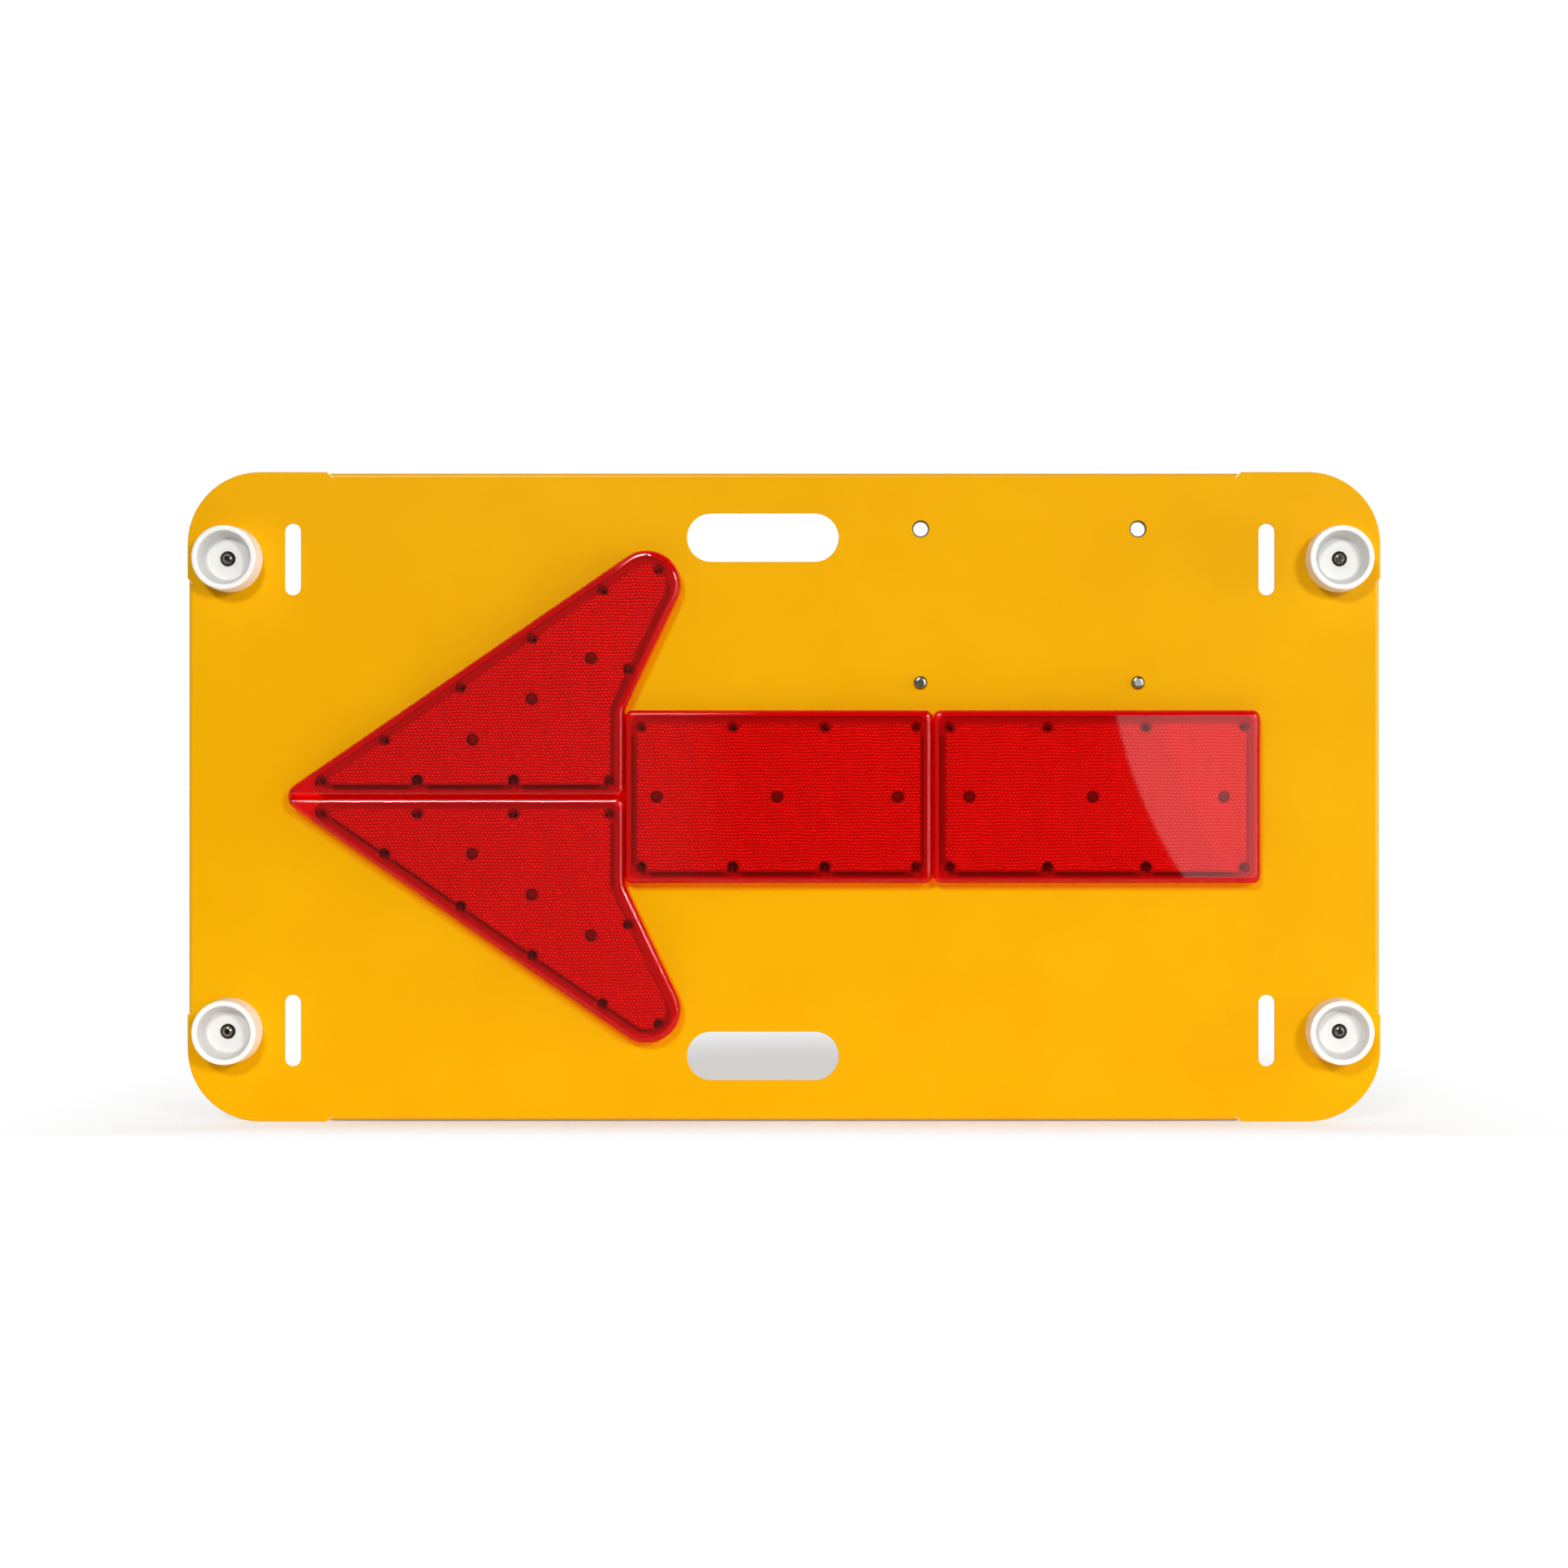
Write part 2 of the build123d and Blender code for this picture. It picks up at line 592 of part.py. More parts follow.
def shaft_module(x0, length, led_xs, screw_x):
    """Everything that tells one shaft module from another."""
    x = x0 + length / 2
    low = led_xs[0] - BOARD_END
    high = led_xs[-1] + BOARD_END
    return {
        "outline": shaft_outline(x0, length),
        "posts": shaft_posts(x, length),
        "leds": [(led_x, ARROW_Z) for led_x in led_xs],
        "board": Pos((low + high) / 2, ARROW_Z) * Rectangle(high - low, BOARD_STRIP_W),
        "pins": [(x + side * SHAFT_BOARD_POST_X, ARROW_Z) for side in (-1, 1)],
        "screws": [(x + a * screw_x, ARROW_Z + b * SHAFT_SCREW_UP) for a in (-1, 1) for b in (-1, 1)],
    }


def head_module(side):
    """Everything that tells one arrowhead half from the other modules."""
    leds = head_leds(side)
    middle = leds[LEDS_PER_MODULE // 2]
    length = HEAD_LED_PITCH * (LEDS_PER_MODULE - 1) + 2 * BOARD_END
    strip = Rot(0, 0, side * degrees(SLOPE)) * Rectangle(length, BOARD_STRIP_W)
    step = HEAD_LED_PITCH / 2
    pins = [(middle[0] + a * step * ALONG[0], middle[1] + a * step * side * ALONG[1]) for a in (-1, 1)]
    return {
        "outline": head_outline(side),
        "posts": head_posts(side),
        "leds": leds,
        "board": Pos(middle[0], middle[1]) * strip,
        "pins": pins,
        "screws": [(TIP_X + along, ARROW_Z + side * up) for along, up in HEAD_SCREWS],
    }


def make_lens(module, links):
    """Clear cap with a rounded edge, screw posts behind the window and a skirt notched for the leads."""
    outline = module["outline"]
    lens = slab(outline, SKIRT_GAP, MODULE_H)
    rim = lens.faces().sort_by(Axis.Y)[0].outer_wire().edges()
    lens = fillet(rim, LENS_EDGE_R)
    lens = lens - slab(inset(outline, LENS_WALL, CAVITY_CORNER_R), SKIRT_GAP, MODULE_TOP)
    lens = lens - slab(inset(outline, REBATE), SKIRT_GAP, LEDGE)
    foot = TRAY_T + PIN_FIT
    lens = lens + slab(dots(module["posts"], POST_R), foot, MODULE_TOP)
    pilot = LENS_SCREW_L + PIN_FIT
    lens = lens - slab(dots(module["posts"], LENS_SCREW_R + PIN_FIT), foot, pilot)
    for link in links:
        lens = lens - link
    return lens


def make_gasket(module):
    """Flat ring between the tray's edge and the lens's ledge."""
    outer = inset(module["outline"], REBATE + DROP_IN)
    ring = outer - inset(module["outline"], LENS_WALL, CAVITY_CORNER_R)
    return slab(ring - dots(module["posts"], POST_R + DROP_IN), TRAY_T, LEDGE - PIN_FIT)


def make_tray(module, links):
    """Back plate with bosses for the panel screws, pinned posts for the LED board and lead grooves."""
    tray = slab(inset(module["outline"], REBATE + DROP_IN), 0, TRAY_T)
    tray = tray + slab(dots(module["screws"], TRAY_BOSS_R), TRAY_T, TRAY_BOSS_H)
    tray = tray + slab(dots(module["pins"], BOARD_POST_R), TRAY_T, BOARD_LOW)
    pin_top = BOARD_LOW + BOARD_T + BOARD_PIN_RISE
    tray = tray + slab(dots(module["pins"], BOARD_PIN_R), BOARD_LOW, pin_top)
    tray = tray - slab(dots(module["screws"], TRAY_SCREW_R + PIN_FIT), 0, TRAY_SCREW_REACH + PIN_FIT)
    tray = tray - slab(dots(module["posts"], LENS_SCREW_R + HOLE_FIT), LENS_SCREW_SINK, TRAY_T)
    tray = tray - slab(dots(module["posts"], LENS_SCREW_HEAD_R + HOLE_FIT), 0, LENS_SCREW_SINK)
    for link in links:
        tray = tray - link
    return tray


def make_lens_screws(module):
    """Screws from behind the tray into the lens posts."""
    seat = LENS_SCREW_SINK
    low = seat - LENS_SCREW_HEAD_H
    solids = []
    for x, z in module["posts"]:
        points = [
            (0, low), (LENS_SCREW_HEAD_R, low), (LENS_SCREW_HEAD_R, seat), (LENS_SCREW_R, seat),
            (LENS_SCREW_R, LENS_SCREW_L), (0, LENS_SCREW_L),
        ]
        solids.append(turned(points, x, z))
    return group(solids)


def make_led_board(module):
    """Circuit strip that carries the LEDs."""
    strip = module["board"] - dots(module["pins"], BOARD_PIN_R + PIN_FIT)
    return slab(strip, BOARD_LOW, BOARD_LOW + BOARD_T)


def make_leds(module):
    """Round LEDs with a flange and a domed tip."""
    seat = BOARD_LOW + BOARD_T
    points = [
        (0, seat), (LED_FLANGE_R, seat), (LED_FLANGE_R, seat + LED_FLANGE_H),
        (LED_R, seat + LED_FLANGE_H), (LED_R, LED_TIP_H), (0, LED_TIP_H),
    ]
    rounds = [((LED_R, LED_TIP_H), LED_DOME_R)]
    return group([turned(points, x, z, rounds) for x, z in module["leds"]])


def make_prism_plate(module):
    """Plate of prism cells against the window, with holes at the LEDs and bites at the posts."""
    plate = inset(module["outline"], PRISM_INSET, PRISM_CORNER_R)
    plate = plate - dots(module["posts"], POST_R + PRISM_POST_GAP)
    plate = plate - dots(module["leds"], LED_R + PRISM_LED_GAP)
    return slab(plate, MODULE_TOP - PRISM_T, MODULE_TOP)


def tray_screw(x, z):
    """Pan-head screw from behind the panel into a tray boss."""
    back = -SHEET - TRAY_SCREW_HEAD_H
    points = [
        (0, back), (TRAY_SCREW_HEAD_R, back), (TRAY_SCREW_HEAD_R, -SHEET), (TRAY_SCREW_R, -SHEET),
        (TRAY_SCREW_R, TRAY_SCREW_REACH), (0, TRAY_SCREW_REACH),
    ]
    body = turned(points, x, z, [(points[1], TRAY_SCREW_HEAD_H * LOW_SHARE)])
    return body - slab(Pos(x, z) * cross(TRAY_CROSS_L), back, back + TRAY_CROSS_D)


# Leads


def lead(start, end, grow):
    """Lead that leaves one LED board, lies in grooves behind two trays and comes up to another board."""
    (x0, z0), (x1, z1) = start, end
    path = FilletPolyline(
        (x0, PANEL_Y - BOARD_LOW, z0), (x0, PANEL_Y - LINK_LOW, z0),
        (x1, PANEL_Y - LINK_LOW, z1), (x1, PANEL_Y - BOARD_LOW, z1), radius=LINK_BEND_R,
    )
    return sweep(Plane(origin=path @ 0, z_dir=path % 0) * Circle(LINK_R + grow), path=path)


def shaft_link(grow=0.0):
    """Lead from the near shaft's LED board to the far shaft's."""
    start = (NEAR_LEDS[-1] + LINK_SOLDER_OUT, ARROW_Z)
    end = (FAR_LEDS[0] - LINK_SOLDER_OUT, ARROW_Z)
    return lead(start, end, grow)


def head_link(side, grow=0.0):
    """Lead from the near shaft's LED board to the board of one arrowhead half."""
    x, z = head_leds(side)[0]
    start = (LINK_START_X, ARROW_Z + side * LINK_START_UP)
    end = (x - LINK_SOLDER_OUT * ALONG[0], z - side * LINK_SOLDER_OUT * ALONG[1])
    return lead(start, end, grow)


def make_feed_lead():
    """Lead from the far shaft's LED board, through the grommet, to the control board."""
    spot = Pos(FEED_X, FEED_Z) * Circle(FEED_R)
    return slab(spot, -(SHEET + BOX_WALL + CONTROL_STANDOFF), BOARD_LOW)


def make_grommet():
    """Rubber sleeve that grips the panel and the box's floor round the feed lead."""
    back = SHEET + BOX_WALL
    bore = FEED_R + PIN_FIT
    points = [
        (bore, GROMMET_FLANGE_T), (GROMMET_FLANGE_R, GROMMET_FLANGE_T), (GROMMET_FLANGE_R, 0),
        (GROMMET_NECK_R, 0), (GROMMET_NECK_R, -back), (GROMMET_FLANGE_R, -back),
        (GROMMET_FLANGE_R, -back - GROMMET_FLANGE_T), (bore, -back - GROMMET_FLANGE_T),
    ]
    return turned(points, FEED_X, FEED_Z)


# Hanger plate


def make_hanger_plate():
    """Thick plate with the two bolt holes that the board hangs from."""
    top = HANGER_HOLE_Z + HANGER_MARGIN_TOP
    low = HANGER_SCREW_Z - HANGER_MARGIN_LOW
    plate = Pos(HANGER_X, (top + low) / 2) * RectangleRounded(HANGER_W, top - low, HANGER_CORNER_R)
    plate = plate - dots(HANGER_HOLES, HANGER_HOLE_R)
    plate = plate - dots(HANGER_SCREWS, HANGER_SCREW_R + HOLE_FIT)
    return behind(plate, SHEET, SHEET + HANGER_T)


def hanger_screw(x, z):
    """Pan-head screw with a cross recess, on the panel's front."""
    reach = SHEET + HANGER_T + SMALL_NUT_H + THREAD_SHOWN
    body = bolt(x, z, HANGER_SCREW_R, HANGER_SCREW_HEAD_R, 0, HANGER_SCREW_HEAD_H, reach,
                HANGER_SCREW_HEAD_H * PAN_SHARE)
    return body - slab(Pos(x, z) * cross(CROSS_L), HANGER_SCREW_HEAD_H - CROSS_D, HANGER_SCREW_HEAD_H)


# Control box


def box_sketch(amount=0.0):
    """Front-view outline of the box, shrunk by an amount."""
    corner = max(BOX_CORNER_R - amount, BOX_LEAST_R)
    return Pos(BOX_X, BOX_Z) * RectangleRounded(BOX_W - 2 * amount, BOX_H - 2 * amount, corner)


def upright(x, depth, z, radius, length):
    """Cylinder along Z."""
    return Pos(x, PANEL_Y + depth, z) * Cylinder(radius, length)


def block(x0, x1, near, far, z0, z1):
    """Box between given planes, its depths measured behind the panel's front."""
    centre = ((x0 + x1) / 2, PANEL_Y + (near + far) / 2, (z0 + z1) / 2)
    return Pos(*centre) * Box(x1 - x0, far - near, z1 - z0)


def knuckle(index, bore):
    """Bored hinge knuckle: even ones lie on the base, odd ones on the lid."""
    z = BOX_Z + (index - (KNUCKLES - 1) / 2) * KNUCKLE_L
    half = KNUCKLE_L / 2 - RUN_GAP / 2
    barrel = upright(HINGE_X, LID_DEPTH, z, HINGE_R, 2 * half)
    if index % 2 == 0:
        end = BOX_LEFT + GROOVE_INSET / 2
        web = block(HINGE_X, end, LID_DEPTH - HINGE_R, RIM_DEPTH, z - half, z + half)
    else:
        web = block(HINGE_X, BOX_LEFT + BOX_WALL, LID_DEPTH, LID_DEPTH + HINGE_R, z - half, z + half)
    return barrel + web - upright(HINGE_X, LID_DEPTH, z, bore, 2 * half)


def make_box_base():
    """Open box with fixing ears, a grooved rim, hinge knuckles and the latch's boss."""
    floor = SHEET + BOX_WALL
    base = behind(box_sketch(), SHEET, RIM_DEPTH)
    base = base - behind(box_sketch(BOX_WALL), floor, RIM_DEPTH - RIM_H)
    base = base - behind(box_sketch(RIM_W), RIM_DEPTH - RIM_H, RIM_DEPTH)
    groove = box_sketch(GROOVE_INSET) - box_sketch(GROOVE_INSET + GROOVE_W)
    base = base - behind(groove, RIM_DEPTH - GROOVE_D, RIM_DEPTH)
    for x, z in EARS:
        side = 1 if x > BOX_X else -1
        neck = Pos(x - side * EAR_OUT / 2, z) * Rectangle(EAR_OUT + BOX_WALL, 2 * EAR_R)
        base = base + behind(Pos(x, z) * Circle(EAR_R) + neck, SHEET, SHEET + EAR_T)
    base = base - behind(dots(EARS, STUD_R + HOLE_FIT), SHEET, SHEET + EAR_T)
    base = base - behind(dots([(FEED_X, FEED_Z)], GROMMET_NECK_R), SHEET, floor)
    for index in range(0, KNUCKLES, 2):
        base = base + knuckle(index, HINGE_PIN_R + PIN_FIT)
    latch = Pos(LATCH_X, BOX_Z)
    near = LID_BACK - LATCH_BOSS_L
    base = base + behind(latch * Circle(LATCH_BOSS_R), near, LID_BACK)
    half = LATCH_WEB_W / 2
    far = near + LATCH_WEB_L
    base = base + block(BOX_RIGHT - BOX_WALL, LATCH_X, near, far, BOX_Z - half, BOX_Z + half)
    base = base - behind(latch * Circle(LATCH_PIN_R + PIN_FIT), LID_BACK - LATCH_PIN_DEEP, LID_BACK)
    for x, z in control_corners():
        base = base + behind(Pos(x, z) * Circle(CONTROL_STANDOFF_R), floor, floor + CONTROL_STANDOFF)
    return base - switch_block(PIN_FIT)


def make_box_gasket():
    """Sealing ring in the rim's groove; the lid lies on it."""
    slack = PIN_FIT
    ring = box_sketch(GROOVE_INSET + slack) - box_sketch(GROOVE_INSET + GROOVE_W - slack)
    return behind(ring, RIM_DEPTH - GROOVE_D, LID_DEPTH)


def make_box_lid():
    """Shallow lid with a rounded back edge and its two hinge knuckles."""
    lid = behind(box_sketch(), LID_DEPTH, LID_BACK)
    lid = fillet(lid.faces().sort_by(Axis.Y)[-1].outer_wire().edges(), LID_EDGE_R)
    lid = lid - behind(box_sketch(RIM_W), LID_DEPTH, LID_DEPTH + LID_POCKET)
    for index in range(1, KNUCKLES, 2):
        lid = lid + knuckle(index, HINGE_PIN_R + PIN_FIT)
    return lid


def make_hinge_pin():
    """Pin through all the knuckles."""
    return upright(HINGE_X, LID_DEPTH, BOX_Z, HINGE_PIN_R, KNUCKLES * KNUCKLE_L)


def make_turn_latch():
    """Latch wing, drawn at rest: it stands upright beside the lid and turns to lie over it."""
    top = LATCH_DEPTH + LATCH_T
    arm_z = BOX_Z + (LATCH_ARM_L - LATCH_ARM_W / 2) / 2
    arm = Pos(LATCH_X, arm_z) * SlotOverall(LATCH_ARM_L + LATCH_ARM_W / 2, LATCH_ARM_W, rotation=90)
    wing = Pos(LATCH_X, BOX_Z) * Circle(LATCH_HUB_R) + arm
    latch = behind(wing, LATCH_DEPTH, top)
    rib_z = BOX_Z + LATCH_ARM_L - LATCH_ARM_W / 2 - LATCH_RIB_L / 2 + LATCH_RIB_W
    rib = Pos(LATCH_X, rib_z) * SlotOverall(LATCH_RIB_L, LATCH_RIB_W, rotation=90)
    latch = latch + behind(rib, top, REAR_REACH)
    return latch - behind(Pos(LATCH_X, BOX_Z) * Circle(LATCH_PIN_R + PIN_FIT), LATCH_DEPTH, top)


def make_latch_pivot():
    """Shoulder screw that the latch turns on."""
    seat = -(LATCH_DEPTH + LATCH_T + HEAD_CLEAR)
    deep = -(LID_BACK - LATCH_PIN_DEEP)
    points = [
        (0, -REAR_REACH), (LATCH_HEAD_R, -REAR_REACH), (LATCH_HEAD_R, seat), (LATCH_PIN_R, seat),
        (LATCH_PIN_R, deep), (0, deep),
    ]
    return turned(points, LATCH_X, BOX_Z, [(points[1], LATCH_HEAD_H * LOW_SHARE)])


# Rocker switch


def switch_block(grow):
    """The part of the switch body that passes through the box's wall."""
    return block(
        ROCKER_X - ROCKER_WELL_R - SWITCH_FLOOR, BOX_RIGHT,
        SWITCH_DEPTH - SWITCH_HALF_Y - grow, SWITCH_DEPTH + SWITCH_HALF_Y + grow,
        ROCKER_Z - SWITCH_HALF_Z - grow, ROCKER_Z + SWITCH_HALF_Z + grow,
    )


def make_switch_body():
    """Switch case with a bezel and a round well for the rocker."""
    bezel = block(
        BOX_RIGHT, BOX_RIGHT + BEZEL_T,
        SWITCH_DEPTH - SWITCH_HALF_Y - BEZEL_LIP, SWITCH_DEPTH + SWITCH_HALF_Y + BEZEL_LIP,
        ROCKER_Z - SWITCH_HALF_Z - BEZEL_LIP, ROCKER_Z + SWITCH_HALF_Z + BEZEL_LIP,
    )
    bezel = fillet(bezel.edges().filter_by(Axis.X), BEZEL_LIP)
    body = switch_block(0) + bezel
    half = ROCKER_L / 2 + RUN_GAP
    well = Pos(ROCKER_X, ROCKER_Z) * Circle(ROCKER_WELL_R)
    body = body - behind(well, SWITCH_DEPTH - half, SWITCH_DEPTH + half)
    half = ROCKER_L / 2 + TRUNNION_L + PIN_FIT
    pivot = Pos(ROCKER_X, ROCKER_Z) * Circle(TRUNNION_R + PIN_FIT)
    return body - behind(pivot, SWITCH_DEPTH - half, SWITCH_DEPTH + half)


def make_switch_rocker():
    """Rocker with two sloping halves and trunnions, tilted to its off position."""
    dip = ROCKER_SUNK - ROCKER_DIP
    rise = ROCKER_R * tan(radians(ROCKER_SLOPE))
    dish = Polygon(
        (-ROCKER_R, -ROCKER_R), (dip + rise, -ROCKER_R), (dip, 0), (dip + rise, ROCKER_R),
        (-ROCKER_R, ROCKER_R), align=None,
    )
    face = Rot(0, 0, -ROCKER_TILT) * (Circle(ROCKER_R) & dish)
    half = ROCKER_L / 2
    rocker = behind(Pos(ROCKER_X, ROCKER_Z) * face, SWITCH_DEPTH - half, SWITCH_DEPTH + half)
    half = half + TRUNNION_L
    pivot = Pos(ROCKER_X, ROCKER_Z) * Circle(TRUNNION_R)
    return rocker + behind(pivot, SWITCH_DEPTH - half, SWITCH_DEPTH + half)


# Cells and control board


def make_battery_holder():
    """Open tray for two rows of two cells."""
    x0 = BOX_X - HOLDER_L / 2
    x1 = BOX_X + HOLDER_L / 2
    z0 = HOLDER_Z - HOLDER_H / 2
    z1 = HOLDER_Z + HOLDER_H / 2
    near = SHEET + BOX_WALL
    holder = block(x0, x1, near, CELL_FLOOR, z0, z1)
    for z in (z0, z1 - HOLDER_WALL):
        holder = holder + block(x0, x1, near, near + HOLDER_SIDE_H, z, z + HOLDER_WALL)
    for x in (x0, x1 - HOLDER_WALL):
        holder = holder + block(x, x + HOLDER_WALL, near, near + HOLDER_END_H, z0, z1)
    return holder


def along_x(points, x, z, rounds=()):
    """Solid of revolution about an axis along X at the cells' depth, from (length, radius) points."""
    profile = Sketch() + Polygon(*points, align=None)
    for point, radius in rounds:
        profile = eased(profile, point, radius)
    origin = (x, PANEL_Y + CELL_DEPTH, z)
    plane = Plane(origin=origin, x_dir=(1, 0, 0), z_dir=(0, -1, 0))
    return revolve(plane * profile, axis=Axis(origin, (1, 0, 0)))


def make_batteries():
    """Four large cells, two end to end in each row, every nub to the right."""
    body = CELL_L - CELL_NUB_L
    points = [(0, 0), (0, CELL_R), (body, CELL_R), (body, CELL_NUB_R), (CELL_L, CELL_NUB_R), (CELL_L, 0)]
    rounds = [(points[1], CELL_EDGE_R), (points[2], CELL_EDGE_R)]
    starts = (BOX_X - CELL_L, BOX_X)
    return group([along_x(points, x, z, rounds) for x in starts for z in CELL_ROWS])


def make_battery_contacts():
    """Sprung end contacts, one at each end of each row."""
    reach = CELL_L + CONTACT_REACH
    leaf = reach - CONTACT_T
    solids = []
    for z in CELL_ROWS:
        for side in (-1, 1):
            points = [
                (side * reach, 0), (side * reach, CONTACT_R), (side * leaf, CONTACT_R),
                (side * leaf, CONTACT_BUMP_R), (side * CELL_L, CONTACT_TIP_R), (side * CELL_L, 0),
            ]
            solids.append(along_x(points, BOX_X, z))
    return group(solids)


def control_corners():
    """Stand-off points under the control board."""
    x = CONTROL_W / 2 - CONTROL_STANDOFF_R
    z = CONTROL_H / 2 - CONTROL_STANDOFF_R
    return [(BOX_X + a * x, CONTROL_Z + b * z) for a in (-1, 1) for b in (-1, 1)]


def make_control_board():
    """Flasher board on the box's stand-offs."""
    board = Pos(BOX_X, CONTROL_Z) * Rectangle(CONTROL_W, CONTROL_H)
    return behind(board, CONTROL_BACK - BOARD_T, CONTROL_BACK)


def make_control_parts():
    """The board's larger parts: terminal block, timer, two drivers and two capacitors."""
    solids = []
    for x, up, wide, high, tall in CONTROL_BLOCKS:
        spot = Pos(BOX_X + x, CONTROL_Z + up) * Rectangle(wide, high)
        solids.append(behind(spot, CONTROL_BACK, CONTROL_BACK + tall))
    for x, up in CONTROL_CANS:
        spot = Pos(BOX_X + x, CONTROL_Z + up) * Circle(CAN_R)
        solids.append(behind(spot, CONTROL_BACK, CONTROL_BACK + CAN_H))
    return group(solids)


# All pieces, one file for each node

modules = {
    "upper_head": head_module(1),
    "lower_head": head_module(-1),
    "near_shaft": shaft_module(NEAR_SHAFT_X0, NEAR_SHAFT_L, NEAR_LEDS, NEAR_SHAFT_SCREW_X),
    "far_shaft": shaft_module(FAR_SHAFT_X0, FAR_SHAFT_L, FAR_LEDS, FAR_SHAFT_SCREW_X),
}
tray_screws = [point for module in modules.values() for point in module["screws"]]
lead_grooves = {
    "upper_head": [head_link(1, DROP_IN)],
    "lower_head": [head_link(-1, DROP_IN)],
    "near_shaft": [head_link(1, DROP_IN), head_link(-1, DROP_IN), shaft_link(DROP_IN)],
    "far_shaft": [shaft_link(DROP_IN)],
}

pieces = {"panel": make_panel(tray_screws)}
for (x, z), name in zip(CORNERS, ("lower_left", "upper_left", "lower_right", "upper_right")):
    pieces["bumper_" + name] = bumper(x, z)
pieces["bumper_bolts"] = group([bumper_bolt(x, z) for x, z in CORNERS])
pieces["bumper_washers"] = group([bumper_washer(x, z) for x, z in CORNERS])
pieces["bumper_nuts"] = group([
    nut(x, z, BUMPER_NUT_AF, SHEET + WASHER_T, BUMPER_NUT_H, BUMPER_BOLT_R + PIN_FIT) for x, z in CORNERS
])
for name, module in modules.items():
    pieces[name + "_lens"] = make_lens(module, lead_grooves[name])
    pieces[name + "_gasket"] = make_gasket(module)
    pieces[name + "_tray"] = make_tray(module, lead_grooves[name])
    pieces[name + "_lens_screws"] = make_lens_screws(module)
    pieces[name + "_led_board"] = make_led_board(module)
    pieces[name + "_leds"] = make_leds(module)
    pieces[name + "_prism_plate"] = make_prism_plate(module)
feed_spot = Pos(FEED_X, FEED_Z)
pieces["far_shaft_tray"] -= slab(feed_spot * Circle(GROMMET_FLANGE_R), 0, GROMMET_FLANGE_T)
pieces["far_shaft_tray"] -= slab(feed_spot * Circle(FEED_R + HOLE_FIT), GROMMET_FLANGE_T, TRAY_T)
pieces["tray_screws"] = group([tray_screw(x, z) for x, z in tray_screws])
pieces["link_leads"] = group([shaft_link(), head_link(1), head_link(-1)])
pieces["feed_lead"] = make_feed_lead()
pieces["grommet"] = make_grommet()
pieces["hanger_plate"] = make_hanger_plate()
pieces["hanger_screws"] = group([hanger_screw(x, z) for x, z in HANGER_SCREWS])
pieces["hanger_nuts"] = group([
    nut(x, z, SMALL_NUT_AF, SHEET + HANGER_T, SMALL_NUT_H, HANGER_SCREW_R + PIN_FIT)
    for x, z in HANGER_SCREWS
])
pieces["box_base"] = make_box_base()
pieces["box_studs"] = group([
    bolt(x, z, STUD_R, STUD_HEAD_R, -SHEET, SHEET, SHEET + EAR_T + SMALL_NUT_H + THREAD_SHOWN, PIN_FIT)
    for x, z in EARS
])
pieces["box_nuts"] = group([
    nut(x, z, SMALL_NUT_AF, SHEET + EAR_T, SMALL_NUT_H, STUD_R + PIN_FIT) for x, z in EARS
])
pieces["box_gasket"] = make_box_gasket()
pieces["box_lid"] = make_box_lid()
pieces["hinge_pin"] = make_hinge_pin()
pieces["turn_latch"] = make_turn_latch()
pieces["latch_pivot"] = make_latch_pivot()
pieces["switch_body"] = make_switch_body()
pieces["switch_rocker"] = make_switch_rocker()
pieces["battery_holder"] = make_battery_holder()
pieces["batteries"] = make_batteries()
pieces["battery_contacts"] = make_battery_contacts()
pieces["control_board"] = make_control_board()
pieces["control_parts"] = make_control_parts()

for name, shape in pieces.items():
    export_step(shape, "parts/" + name + ".step")
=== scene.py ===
# %% [markdown]
# LED arrow board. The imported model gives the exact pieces: a folded yellow panel, four red lamp modules that
# make a left-pointing arrow, cup bumpers, and a hanger plate and control box behind. This lesson gives each
# piece its finish, adds the prism cells that are too fine for the solids, and lights the board as a studio
# would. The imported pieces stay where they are: everything here is fitted to them.

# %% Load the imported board
import json
import math
import bmesh
import bpy
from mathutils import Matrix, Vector


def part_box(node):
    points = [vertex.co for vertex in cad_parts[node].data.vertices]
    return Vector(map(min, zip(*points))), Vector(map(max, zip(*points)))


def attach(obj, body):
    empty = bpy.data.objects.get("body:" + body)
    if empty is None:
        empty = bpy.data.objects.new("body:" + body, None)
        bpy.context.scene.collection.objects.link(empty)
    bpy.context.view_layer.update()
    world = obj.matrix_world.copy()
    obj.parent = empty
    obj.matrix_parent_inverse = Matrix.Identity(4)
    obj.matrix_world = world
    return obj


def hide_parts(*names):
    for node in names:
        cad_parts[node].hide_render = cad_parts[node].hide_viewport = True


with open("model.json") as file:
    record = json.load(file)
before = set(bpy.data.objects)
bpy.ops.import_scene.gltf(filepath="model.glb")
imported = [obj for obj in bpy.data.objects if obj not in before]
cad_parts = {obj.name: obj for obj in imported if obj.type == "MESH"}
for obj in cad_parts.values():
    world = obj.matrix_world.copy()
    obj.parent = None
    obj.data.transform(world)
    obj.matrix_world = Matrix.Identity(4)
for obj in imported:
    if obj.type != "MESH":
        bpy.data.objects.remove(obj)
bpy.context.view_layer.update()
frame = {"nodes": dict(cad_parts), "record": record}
nodes = frame["nodes"]
MM = 0.001
